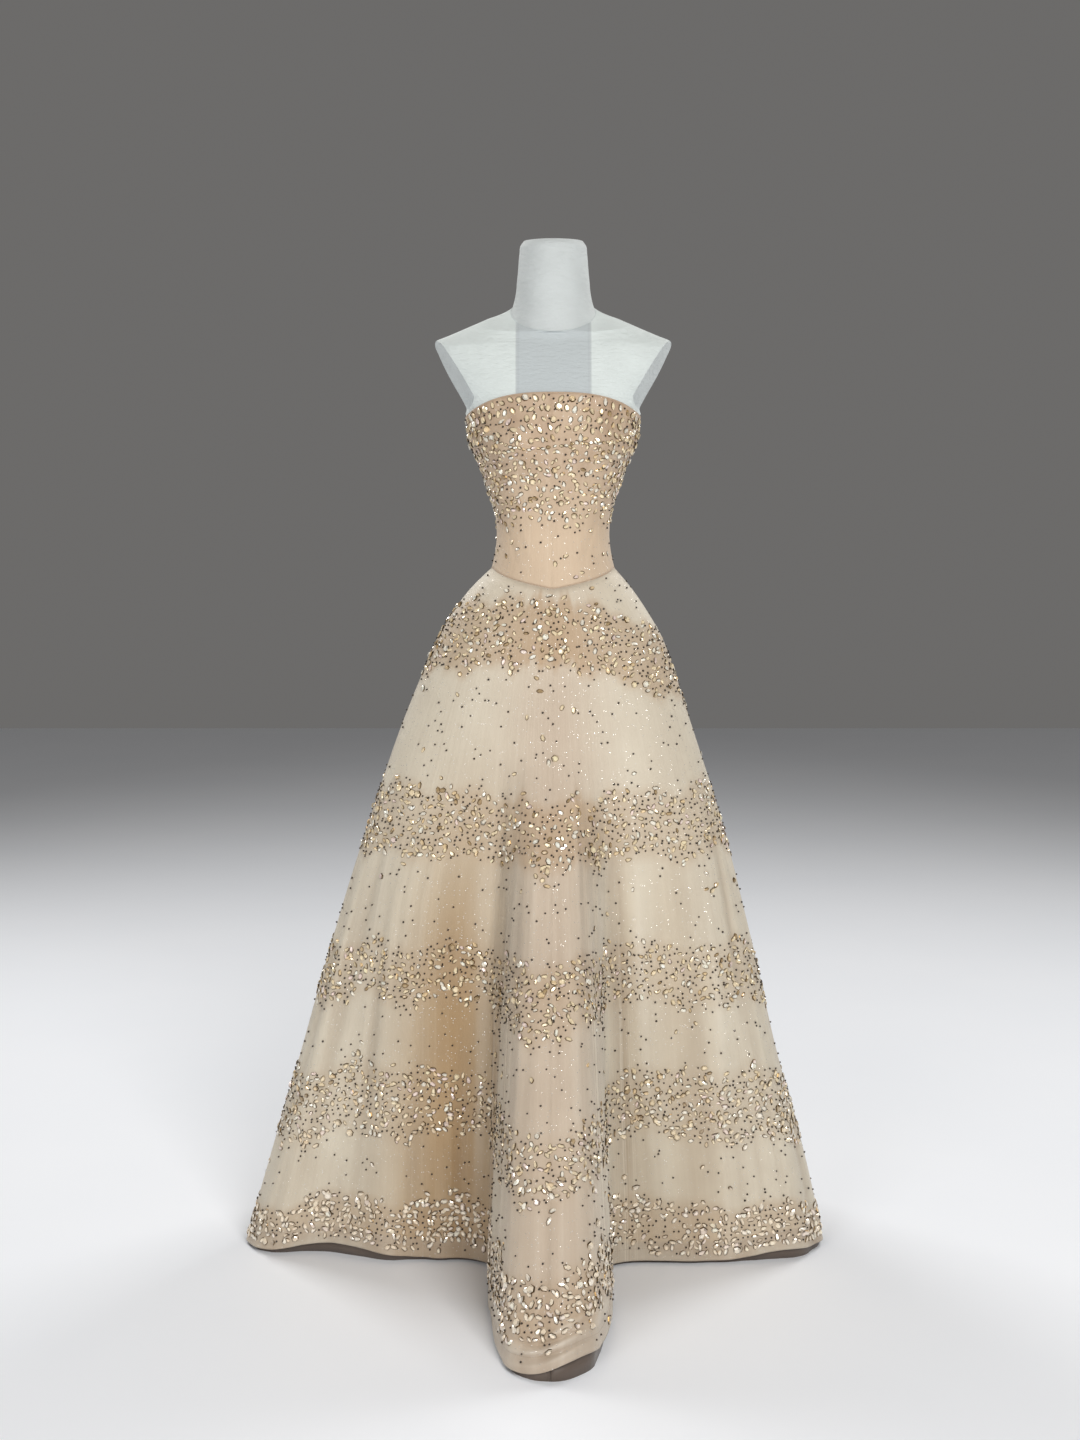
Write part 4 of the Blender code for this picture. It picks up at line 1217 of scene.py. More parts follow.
def put_stones(name, seat, half_length, sides, lie, rng, pale=0.0):
    """Cut stones in their settings, joined in one mesh.

    Each outline is x = cos t, y = ratio |sin t|^p (1 - taper x), turned to lie its own way.
    It is repeated as the foot of the setting, the girdle and the table, each smaller, and
    every facet has its own painted shading of the stone's tint, darker or lighter, standing in for
    the light that the facet catches.
    """
    count = len(seat["point"])
    cuts = np.array(STONE_CUTS)
    cut = rng.choice(len(cuts), count, p=cuts[:, 0] / cuts[:, 0].sum())
    ratio, sharp, taper = (cuts[cut, k][:, None] for k in (1, 2, 3))
    t = turns(sides)[None]
    x = np.cos(t) + 0 * ratio
    y = ratio * np.sign(np.sin(t)) * np.abs(np.sin(t)) ** sharp * (1 - taper * x)
    cos, sin = np.cos(lie)[:, None], np.sin(lie)[:, None]
    outline = np.stack([x * cos - y * sin, x * sin + y * cos], axis=-1) * half_length[:, None, None]
    outward = np.stack([np.cos(t + lie[:, None]), np.sin(t + lie[:, None])], axis=-1)
    high = half_length * ratio[:, 0] * rng.uniform(*STONE_THICK, count)
    layers = []
    for scale, rim, lift in STONE_LEVELS:
        level = np.broadcast_to((lift * high)[:, None, None], (count, sides, 1))
        layers.append(np.concatenate([outline * scale + outward * rim, level], axis=-1))
    local = np.concatenate(layers, axis=1)
    ring = grid_faces(3, sides, True)
    rim = np.arange(sides)
    groups = [(ring[:sides], 1), (rim[None, ::-1], 1), (ring[sides:], 0),
              (2 * sides + rim[None], 0)]
    finishes = [bpy.data.materials[finish] for finish in ("stones", "stone settings")]
    piece = put_many(name, local, tilted(seat, STONE_LEAN, rng), groups, finishes, False)
    tints = np.array(STONE_TINTS)
    tint = tints[rng.choice(len(tints), count, p=tints[:, 0] / tints[:, 0].sum()), 1:]
    tint = tint * rng.uniform(*STONE_TONES, (count, 1))
    tint = mix(tint, np.array(LOW_STONE_TINT), np.broadcast_to(pale, (count,))[:, None])
    # Painted facet shading: each facet's tint is made darker or lighter at random, standing in for
    # the light it catches
    shade = np.concatenate([
        np.repeat(tint, faces, axis=0) * rng.uniform(low, FACET_HIGH, (faces * count, 1))
        for faces, low in ((sides, 1.0), (1, 1.0), (sides, FACET_LOW), (1, TABLE_LOW))])
    shade = np.concatenate([np.clip(shade, 0, 1), np.ones((len(shade), 1))], axis=1)
    layer = piece.data.attributes.new("tint", "FLOAT_COLOR", "FACE")
    layer.data.foreach_set("color", shade.astype(np.float32).ravel())
    return piece


def put_beads(name, seat, radius, finish, rng):
    """Round beads joined in one mesh: two poles and two rings of five points each, at the
    radius 2 / sqrt 5 and the height 1 / sqrt 5 of an icosahedron."""
    count = len(seat["point"])
    turn = turns(5)
    wide, high = 0.894, 0.447
    ball = np.concatenate([
        [(0, 0, -1)],
        np.stack([wide * np.cos(turn), wide * np.sin(turn), 0 * turn - high], axis=-1),
        np.stack([wide * np.cos(turn + turn[1] / 2), wide * np.sin(turn + turn[1] / 2),
                  0 * turn + high], axis=-1),
        [(0, 0, 1)]])
    k = np.arange(5)
    n = (k + 1) % 5
    faces = np.concatenate([np.stack([0 * k, 1 + n, 1 + k], axis=-1),
                            np.stack([1 + k, 1 + n, 6 + k], axis=-1),
                            np.stack([1 + n, 6 + n, 6 + k], axis=-1),
                            np.stack([6 + k, 6 + n, 0 * k + 11], axis=-1)])
    size = radius * rng.uniform(*BEAD_SIZES, count)[:, None, None]
    local = (ball[None] + (0, 0, BEAD_RISE)) * size
    piece = put_many(name, local, tilted(seat, BEAD_LEAN, rng), [(faces, 0)], [finish])
    return piece


def put_blocks(name, seat, size, finish):
    """Small blocks joined in one mesh, such as stitches or teeth, each along its seat."""
    corner = np.array([(x, y, z) for z in (-0.5, 0.5) for x, y in
                       ((-0.5, -0.5), (0.5, -0.5), (0.5, 0.5), (-0.5, 0.5))])
    corner[4:, :2] *= (0.82, 0.6)
    faces = np.concatenate([grid_faces(2, 4, True), [(3, 2, 1, 0), (4, 5, 6, 7)]])
    local = np.broadcast_to(corner * np.array(size), (len(seat["point"]), 8, 3))
    return put_many(name, local, seat, [(faces, 0)], [finish])


# Materials

def add(tree, kind, links=None, **values):
    """A shader node with its values set and its inputs linked to sockets or filled."""
    node = tree.nodes.new("ShaderNode" + kind)
    for name, value in values.items():
        setattr(node, name, value)
    for name, value in (links or {}).items():
        if isinstance(value, bpy.types.NodeSocket):
            tree.links.new(value, node.inputs[name])
        else:
            node.inputs[name].default_value = value
    return node


def blend(tree, factor, first, second):
    """A colour between two, by a factor."""
    node = add(tree, "Mix", data_type="RGBA")
    for number, value in ((0, factor), (6, first), (7, second)):
        if isinstance(value, bpy.types.NodeSocket):
            tree.links.new(value, node.inputs[number])
        elif number:
            node.inputs[number].default_value = (*value, 1.0)
        else:
            node.inputs[number].default_value = value
    return node.outputs[2]


def maths(tree, operation, first, second=0.0):
    """A sum worked out on two numbers or sockets."""
    return add(tree, "Math", {0: first, 1: second}, operation=operation).outputs[0]


def times(tree, first, second):
    """The product of two numbers or sockets."""
    return maths(tree, "MULTIPLY", first, second)


def spread(tree, value, low, high, to_low=0.0, to_high=1.0):
    """A value read from one range into another, held at its ends."""
    return add(tree, "MapRange", {"Value": value, "From Min": low, "From Max": high,
                                  "To Min": to_low, "To Max": to_high}).outputs[0]


def kept_value(tree, name):
    """A number that the mesh keeps at each vertex."""
    return add(tree, "Attribute", attribute_name=name).outputs["Fac"]


def object_place(tree):
    """Places on the piece in metres."""
    return add(tree, "TexCoord").outputs["Object"]


def cloth_place(tree):
    """Places along the cloth in metres, as two numbers: across, and down from the top."""
    return add(tree, "SeparateXYZ", {0: add(tree, "UVMap", uv_map="cloth").outputs[0]}).outputs


def fold_place(tree, across, down):
    """Places that run straight down the folds: metres round the hem, and down from the top."""
    return add(tree, "CombineXYZ", {0: times(tree, kept_value(tree, "run"), across),
                                    1: times(tree, cloth_place(tree)[1], down)}).outputs[0]


def noise(tree, place, scale, detail):
    """Soft random patches."""
    return add(tree, "TexNoise", {"Vector": place, "Scale": scale, "Detail": detail}).outputs[0]


def weave(tree, pitch):
    """Threads both ways over the cloth: the higher of two sine waves a pitch apart."""
    across, down = cloth_place(tree)[:2]
    turn = 2 * math.pi / pitch
    waves = [maths(tree, "SINE", times(tree, way, turn)) for way in (across, down)]
    return maths(tree, "MAXIMUM", *waves)


def new_material(name, roughness, metallic=0.0, **direct):
    """A material with the numbers that are the same all over it on its shader."""
    made = bpy.data.materials.new(name)
    made.use_nodes = True
    shader = made.node_tree.nodes["Principled BSDF"]
    shader.inputs["Roughness"].default_value = roughness
    shader.inputs["Metallic"].default_value = metallic
    for label, value in direct.items():
        shader.inputs[label.replace("_", " ")].default_value = value
    return made, made.node_tree, shader


def set_colour(tree, shader, value):
    """Link a colour to the shader."""
    tree.links.new(value, shader.inputs["Base Color"])


def set_bump(tree, shader, height, strength, distance):
    """Bump from a height."""
    bump = add(tree, "Bump", {"Height": height, "Strength": strength, "Distance": distance})
    tree.links.new(bump.outputs[0], shader.inputs["Normal"])


def glitter(tree, share):
    """1 on tiny flecks of the cloth and 0 elsewhere: small discs in some cells of a mesh."""
    cells = add(tree, "TexVoronoi", {"Vector": object_place(tree), "Scale": 330.0})
    disc = spread(tree, cells.outputs["Distance"], 0.20, 0.30, 1.0, 0.0)
    pick = add(tree, "SeparateColor", {0: cells.outputs["Color"]}).outputs[0]
    lit = spread(tree, pick, 1 - 4 * share, 1 - 3.9 * share)
    return times(tree, disc, lit)


def stained(tree, base, stain, value, low, high, to_low, to_high):
    """A colour stained with another, as much as a value read over a range says."""
    return blend(tree, spread(tree, value, low, high, to_low, to_high), base, stain)


def stretched(tree, scale):
    """Places on the piece, scaled along x, y and z."""
    return add(tree, "Mapping", {"Vector": object_place(tree), "Scale": scale}).outputs[0]


def mottled(name, roughness, metallic, scale, detail, ends, dark, light, bump, **direct):
    """A finish whose soft random patches run from a darker to a lighter colour.

    A scale of three numbers draws them out; ends narrow the range they are read over; with a
    bump, its strength and its depth, they are raised too.
    """
    made, tree, shader = new_material(name, roughness, metallic, **direct)
    if isinstance(scale, tuple):
        patches = noise(tree, stretched(tree, scale), 1.0, detail)
    else:
        patches = noise(tree, object_place(tree), scale, detail)
    if ends:
        patches = spread(tree, patches, *ends)
    set_colour(tree, shader, blend(tree, patches, dark, light))
    if bump:
        set_bump(tree, shader, patches, *bump)
    return made


def shaded(tone, share):
    """A colour times a share, no part of it over 1."""
    return tuple(min(share * part, 1.0) for part in tone)


def finish_tulle(tree, shader, base, share):
    """The net over satin that all the outer cloth has: streaks (partly painted sheen and shade),
    painted pleat lines, flecks and threads.
    """
    # Streaks down the folds: partly the net's tone where its layers overlap, partly painted sheen
    # and shade of fine folds
    streaks = noise(tree, fold_place(tree, 70.0, 1.3), 1.0, 3.0)
    base = stained(tree, base, (0.90, 0.84, 0.70), streaks, 0.52, 0.74, 0.0, 0.11)
    base = stained(tree, base, (0.42, 0.30, 0.19), streaks, 0.30, 0.46, 0.09, 0.0)
    # Painted pleat lines: a painted highlight and painted shade in narrow lines where pleats would
    # be
    lines = noise(tree, fold_place(tree, 300.0, 0.8), 1.0, 1.0)
    painted_pleat_lines = kept_value(tree, "painted_pleat_lines")
    light = times(tree, spread(tree, lines, 0.54, 0.68, 0.0, 0.75), painted_pleat_lines)
    dark = times(tree, spread(tree, lines, 0.34, 0.47, 0.60, 0.0), painted_pleat_lines)
    base = blend(tree, light, base, (0.92, 0.85, 0.70))
    base = blend(tree, dark, base, (0.36, 0.24, 0.13))
    patches = noise(tree, object_place(tree), 9.0, 3.0)
    base = stained(tree, base, (0.34, 0.24, 0.16), patches, 0.35, 0.65, 0.16, 0.0)
    flecks = glitter(tree, share)
    set_colour(tree, shader, blend(tree, flecks, base, (0.95, 0.92, 0.86)))
    tree.links.new(times(tree, flecks, 0.75), shader.inputs["Metallic"])
    tree.links.new(spread(tree, flecks, 0.0, 1.0, 0.52, 0.16), shader.inputs["Roughness"])
    threads = times(tree, weave(tree, 0.0014), 0.5)
    crumple = noise(tree, fold_place(tree, 60.0, 9.0), 1.0, 3.0)
    height = maths(tree, "ADD", threads, times(tree, crumple, 3.0))
    set_bump(tree, shader, height, 0.5, 0.0004)


def skirt_tulle():
    """Outer tulle: cream, nude on the pipe folds, brown in the valleys (partly painted shade),
    darker under beads (in part painted shade at the hem), painted shade in creases and painted
    highlights on ridges.
    """
    made, tree, shader = new_material("glitter tulle", 0.5, Sheen_Weight=0.25,
                                      Sheen_Roughness=0.4)
    look = settings()
    base = look.cream
    # The valleys' colour is partly painted shade, and the band ground at the hem is partly painted
    # shade too
    for name, tone in (("nude", look.nude), ("valley_shade_and_lining", look.tan), ("ground", look.ground)):
        base = blend(tree, kept_value(tree, name), base, tone)
    crease = kept_value(tree, "crease")
    base = stained(tree, base, (0.47, 0.39, 0.31), kept_value(tree, "hem"), 0.030, 0.036, 0.5, 0.0)
    # Painted shade where a crease pushes the cloth in, and a painted highlight along its ridges
    base = stained(tree, base, (0.30, 0.21, 0.13), crease, 0.1, 1.0, 0.0, 0.36)
    base = stained(tree, base, (0.90, 0.84, 0.72), crease, -1.0, -0.1, 0.40, 0.0)
    finish_tulle(tree, shader, base, look.glitter)
    return made


def bodice_tulle():
    """The bodice's tulle: darker nude under the beading, lighter over the waist."""
    made, tree, shader = new_material("beaded tulle", 0.5, Sheen_Weight=0.25,
                                      Sheen_Roughness=0.4)
    look = settings()
    rise = spread(tree, kept_value(tree, "rise"), BODICE_DENSE_LOW - 0.12, 1.0)
    patches = noise(tree, fold_place(tree, 9.0, 7.0), 1.0, 3.0)
    rise = times(tree, rise, spread(tree, patches, 0.40, 0.60, 0.35, 1.0))
    finish_tulle(tree, shader, blend(tree, rise, look.bodice_waist, look.bodice_top),
                 look.glitter)
    return made


def lining_satin():
    """The underskirt's taupe satin: soft darker patches under a close weave."""
    look = settings()
    made = mottled("brown lining", 0.42, 0.0, 14.0, 3.0, (0.3, 0.7), shaded(look.lining, 0.72),
                   look.lining, None, Sheen_Weight=0.15)
    tree = made.node_tree
    set_bump(tree, tree.nodes["Principled BSDF"], weave(tree, 0.0009), 0.4, 0.0001)
    return made


def stone_glass():
    """Foil-backed glass in each stone's own tint, with painted darker reflections in small patches.
    """
    made, tree, shader = new_material("stones", 0.10, 0.14, Coat_Weight=0.8,
                                      Coat_Roughness=0.03)
    tint = add(tree, "Attribute", attribute_name="tint").outputs["Color"]
    # Painted reflections: small patches of the glass turn darker brown, as foil-backed facets look
    # where they catch little light
    depth = spread(tree, noise(tree, object_place(tree), 620.0, 1.0), 0.24, 0.40)
    set_colour(tree, shader, blend(tree, depth, (0.60, 0.46, 0.28), tint))
    return made


def stone_setting():
    """Gilt metal that is a little worn at random."""
    gold = settings().setting_gold
    return mottled("stone settings", 0.3, 1.0, 240.0, 2.0, (0.35, 0.7), shaded(gold, 0.42), gold,
                   None)


def bead_glass():
    """Glossy bronze glass beads."""
    brown = settings().bead_brown
    return mottled("bronze beads", 0.3, 0.20, 160.0, 1.0, (0.35, 0.65), brown, shaded(brown, 2.6),
                   None, Coat_Weight=0.3, Coat_Roughness=0.05)


def form_jersey(name, tone, band):
    """The form's fine jersey cover, with a greyer band down the front where it has one."""
    made, tree, shader = new_material(name, 0.72, Sheen_Weight=0.2)
    place = object_place(tree)
    patches = spread(tree, noise(tree, place, 22.0, 4.0), 0.3, 0.7)
    base = blend(tree, patches, shaded(tone, 0.93), tone)
    if band:
        pair = add(tree, "SeparateXYZ", {0: place})
        from_middle = maths(tree, "ABSOLUTE", pair.outputs[0])
        inside, rising, falling = (
            spread(tree, from_middle, FRONT_BAND_HALF_WIDTH + low, FRONT_BAND_HALF_WIDTH + high,
                   to_low, to_high) for low, high, to_low, to_high in FRONT_BAND_EDGES)
        front = spread(tree, pair.outputs[1], -0.03, -0.01, 1.0, 0.0)
        factor = times(tree, inside, times(tree, front, 0.9))
        base = blend(tree, factor, base, settings().form_grey)
        edge = times(tree, rising, times(tree, falling, front))
        base = blend(tree, edge, base, (0.30, 0.32, 0.35))
    set_colour(tree, shader, base)
    knit = times(tree, noise(tree, place, 950.0, 2.0), 0.3)
    loops = noise(tree, stretched(tree, (70.0, 70.0, 210.0)), 1.0, 4.0)
    height = maths(tree, "ADD", knit, loops)
    set_bump(tree, shader, height, 0.9, 0.0022)
    return made


# Sizes of cuts, what lies near what, and finishes of the frame's own solids

def cut_size(grid):
    """Width, length and one-sided area of a cloth grid, as its cut on the table."""
    points = grid[..., :3]
    across = points[1:, 1:] - points[:-1, :-1]
    other = points[1:, :-1] - points[:-1, 1:]
    area = 0.5 * np.linalg.norm(np.cross(across, other), axis=-1).sum()
    width = float((grid[:, -1, ARC] - grid[:, 0, ARC]).max())
    down = np.linalg.norm(np.diff(points, axis=0), axis=-1).sum(axis=0).max()
    return (width, float(down)), float(min(area, width * down))


def near(points, others, reach):
    """Which points lie within reach of any of the others."""
    return np.linalg.norm(points[:, None] - others[None], axis=-1).min(axis=1) < reach


def beside_zip(seat):
    """Which seats lie on the zip or close beside it."""
    x, y, z = seat["point"].T
    return (np.abs(x) < ZIP_CLEAR) & (y > 0) & (z > ZIP_END - ZIP_CLEAR)


def paint_nodes(finish, *starts):
    """Give the frame's own solids whose names start so a finish."""
    for name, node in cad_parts.items():
        if name.startswith(starts):
            for holder in node.material_slots:
                holder.material = finish


class GOWN_OT_stage(bpy.types.Operator):
    """Lay the floor, light it softly and set the camera as the photograph was taken"""
    bl_idname = "gown.stage"
    bl_label = "Stage"

    def execute(self, context):
        corners = FLOOR_REACH * np.array([(-1, -1, 0), (1, -1, 0), (1, 1, 0), (-1, 1, 0)])
        floor = put_mesh("floor", corners, [(np.array([(0, 1, 2, 3)]), 0)],
                         [mottled(*PALE_FLOOR)])
        world = bpy.data.worlds.new("soft studio")
        world.use_nodes = True
        sky = world.node_tree.nodes["Background"]
        sky.inputs["Color"].default_value = SKY
        sky.inputs["Strength"].default_value = SKY_STRENGTH
        context.scene.world = world
        context.scene.view_settings.view_transform = "Standard"
        for name, place, wide, power, tint in LIGHTS:
            lamp = bpy.data.lights.new(name, "AREA")
            lamp.size = wide
            lamp.energy = power
            lamp.color = tint
            holder = bpy.data.objects.new(name, lamp)
            holder.location = place
            aim = LIT_POINT - holder.location
            holder.rotation_euler = aim.to_track_quat("-Z", "Y").to_euler()
            context.collection.objects.link(holder)
        eye = bpy.data.cameras.new("camera")
        eye.sensor_fit = "VERTICAL"
        eye.sensor_height = SENSOR
        eye.lens = FOCAL_PIXELS / FRAME_HEIGHT * SENSOR
        holder = bpy.data.objects.new("camera", eye)
        aside = (GOWN_AXIS_COLUMN - FRAME_WIDTH / 2) * CAMERA_DISTANCE / FOCAL_PIXELS
        holder.location = (-aside, -CAMERA_DISTANCE, CAMERA_HEIGHT)
        pitch = math.atan((FRAME_HEIGHT / 2 - HORIZON_ROW) / FOCAL_PIXELS)
        holder.rotation_euler = (math.pi / 2 - pitch, 0, 0)
        context.collection.objects.link(holder)
        context.scene.camera = holder
        return {"FINISHED"}


class GOWN_OT_dress_form(bpy.types.Operator):
    """Build the form's torso with its flat armhole caps, its neck and the seam between"""
    bl_idname = "gown.dress_form"
    bl_label = "Dress form"

    def execute(self, context):
        look = settings()
        cover = form_jersey("form cover", look.form_white, True)
        caps = form_jersey("form caps", tuple(0.5 * (white + grey) for white, grey
                                              in zip(look.form_white, look.form_grey)), False)
        heights = spaced(*SHOULDER_ROWS)
        above = 2 + (heights - TOP_EDGE_SIDE) / (SHOULDER_TOP - TOP_EDGE_SIDE)
        levels = np.concatenate([spaced(*FORM_ROWS)[:-1], above])
        angles, cut = armhole_angles(levels, FORM_SIXTH)
        torso = torso_points(angles, form_height(levels[:, None], angles))
        ring = neck_seam_ring(angles[-1])
        closing = np.linspace(0, 1, CLOSING_ROWS)[1:, None, None]
        torso = np.concatenate([torso, mix(torso[-1], ring, closing)])
        on_cut = np.isin(np.arange(torso.shape[1]) // FORM_SIXTH, (1, 4))
        cut = np.concatenate([cut, np.zeros(len(closing), bool)])
        slots = ((cut[:-1] & cut[1:])[:, None] & on_cut[None]).ravel()
        body = put_closed("form_torso", torso, [cover, caps], slots)
        body.data.set_sharp_from_angle(angle=TORSO_SHARP)
        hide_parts("form_body")
        turn = turns(NECK_COLUMNS)
        seam = neck_seam_ring(turn) + (0, 0, SEAM_GAP)

        def level_ring(height):
            width, depth = read_sections(NECK_SECTIONS, height)
            return np.stack([width * np.sin(turn), -depth * np.cos(turn), height + 0 * turn],
                            axis=-1)

        first = level_ring(NECK_SECTIONS[0][0])
        rings = []
        for part in np.linspace(0, 1, FLARE_ROWS):
            drawn_in = 1 - (1 - part) ** NECK_FLARE
            rings.append(mix(seam, first, np.array((drawn_in, drawn_in, part))))
        rings += [level_ring(height) for height in spaced(*NECK_ROWS)[1:]]
        neck = put_closed("form_neck_cover", np.array(rings),
                          [form_jersey("form neck", look.form_neck, False)])
        neck.data.set_sharp_from_angle(angle=NECK_SHARP)
        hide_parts("form_neck")
        line = put_line("form_neck_seam", neck_seam_ring(turn) * NECK_LINE_OUT, NECK_LINE_RADIUS,
                        caps, True)
        paint_nodes(mottled(*STAND_METAL), "form_pole", "form_hub", "form_leg")
        return {"FINISHED"}


class GOWN_OT_bodice(bpy.types.Operator):
    """Build the bodice's three panels with their stones, beads, binding and waist seam"""
    bl_idname = "gown.bodice"
    bl_label = "Bodice"

    def execute(self, context):
        look = settings()
        finish = bodice_tulle()
        binding = mottled(*EDGE_BINDING)
        stone_glass()
        stone_setting()
        beads = bead_glass()
        grid = bodice_cloth(BODICE_ROWS, 4 * QUARTER)
        half_gap = np.full(len(grid), SEAM_GAP / 2)
        at_zip = np.full(len(grid), ZIP_WIDTH / 2 + SEAM_GAP)
        panels = {}
        for name, first, last, ends in (
                ("bodice_front", 3, 5, (half_gap, half_gap)),
                ("bodice_back_right", 1, 2, (half_gap, at_zip)),
                ("bodice_back_left", 2, 3, (at_zip, half_gap))):
            cut = cut_out(grid, first * QUARTER, last * QUARTER, *ends)
            piece = put_cloth(name, cut, BODICE_WALL - SEAM_GAP, finish)
            put_values(piece, "rise", cut[..., SHARE])
            put_values(piece, "run", BODICE_RUN * cut[..., STEP])
            put_values(piece, "painted_pleat_lines", 0 * cut[..., STEP])
            panels[name] = (piece, first, last, cut_size(cut))
        trims = self.trim(grid, binding)
        stones, beaded = self.scatter(grid, look)
        rng = np.random.default_rng(look.seed + 1)
        for name, (piece, first, last, (flat, area)) in panels.items():
            on_stones, on_beads = (
                chosen(seat, between(seat, first * math.pi / 2, last * math.pi / 2, 2 * math.pi))
                for seat in (stones, beaded))
            own = [put_stones(name + "_stones", on_stones, on_stones["half"],
                              BODICE_STONE_SIDES, on_stones["lie"], rng),
                   put_beads(name + "_beads", on_beads, look.bead_size / 2, beads, rng)]
            if name == "bodice_front":
                own += trims
        return {"FINISHED"}

    def trim(self, grid, binding):
        """The rolled binding of the top edge and the piping of the waist seam."""
        columns = grid.shape[1]
        half = columns // 2
        around = np.arange(half + TRIM_AWAY, half + columns - TRIM_AWAY + 1) % columns
        made = []
        for name, row, radius, lift in TRIMS:
            out = ring_normals(grid[..., :3])[row, around]
            path = grid[row, around, :3] + out * (lift - radius)
            made.append(put_line(name, path, radius + 0.0003, binding, False))
        return made

    def scatter(self, grid, look):
        """Seats of the bodice's stones and beads.

        Large stones on a wide lattice under the top edge with beads between, an arc of small
        ones over the bust, a dense middle, and a few over the waist.
        """
        rng = np.random.default_rng(look.seed)
        tall = grid.shape[0] - 1
        round_it = grid.shape[1]
        centre, rise, reach, pace, garland_length = GARLAND
        angle = np.radians(np.arange(-reach, reach, math.degrees(pace / 0.108)))
        height = centre + rise * np.sin(angle) ** 2 + 0.005 * np.sin(5 * angle + 0.6)
        height += rng.normal(0, 0.0012, len(angle))
        low = waist_seam_height(angle)
        share = (height - low) / (top_edge_height(angle) - low)
        garland = seats(grid, share * tall, angle / (2 * math.pi) * round_it)
        large = seats(grid, *lattice(grid, look.large_spacing, LARGE_JITTER, rng))
        kept = (large["looks"][:, 1] > BODICE_LARGE_LOW) & (large["looks"][:, 3] > LARGE_INSET)
        kept &= (rng.random(len(kept)) < LARGE_STONES) & ~beside_zip(large)
        large = chosen(large, kept)
        small = seats(grid, *lattice(grid, look.stone_spacing, BODICE_JITTER, rng))
        share = small["looks"][:, 1]
        top = share > BODICE_LARGE_LOW
        dense = smooth(BODICE_DENSE_LOW - 0.09, BODICE_DENSE_LOW + 0.03,
                       share + 0.03 * np.sin(5 * small["looks"][:, 0]))
        stones = np.where(top, 0.0, mix(WAIST_STONES, BODICE_STONES, dense))
        beads = np.where(top, TOP_BEADS, mix(PLAIN_BEADS, BODICE_BEADS, dense))
        clear = ~beside_zip(small) & (share > WAIST_INSET) & (small["looks"][:, 3] > SMALL_INSET)
        clear &= ~near(small["point"], garland["point"], GARLAND_CLEAR)
        clear &= ~near(small["point"], large["point"], LARGE_CLEAR)
        draw = rng.random(len(share))
        some = chosen(small, clear & (draw < stones))
        beaded = chosen(small, clear & (draw >= stones) & (draw < stones + beads))
        groups = ((large, look.large_stone_length, math.pi / 2, 0.55),
                  (garland, garland_length, 0.0, 0.25),
                  (some, look.stone_length * 0.86, math.pi / 2, 1.1))
        joined = joined_seats([group[0] for group in groups])
        joined["half"] = np.concatenate([
            0.5 * mean * rng.uniform(*BODICE_STONE_SIZES, len(seat["point"]))
            for seat, mean, _, _ in groups])
        joined["lie"] = np.concatenate([lie + rng.normal(0, spread_out, len(seat["point"]))
                                        for seat, _, lie, spread_out in groups])
        return joined, beaded


def low_down(sites):
    """0 on the upper bands of the skirt, rising smoothly to 1 on the lowest."""
    return smooth(*LOW_BANDS, sites["looks"][:, 1])


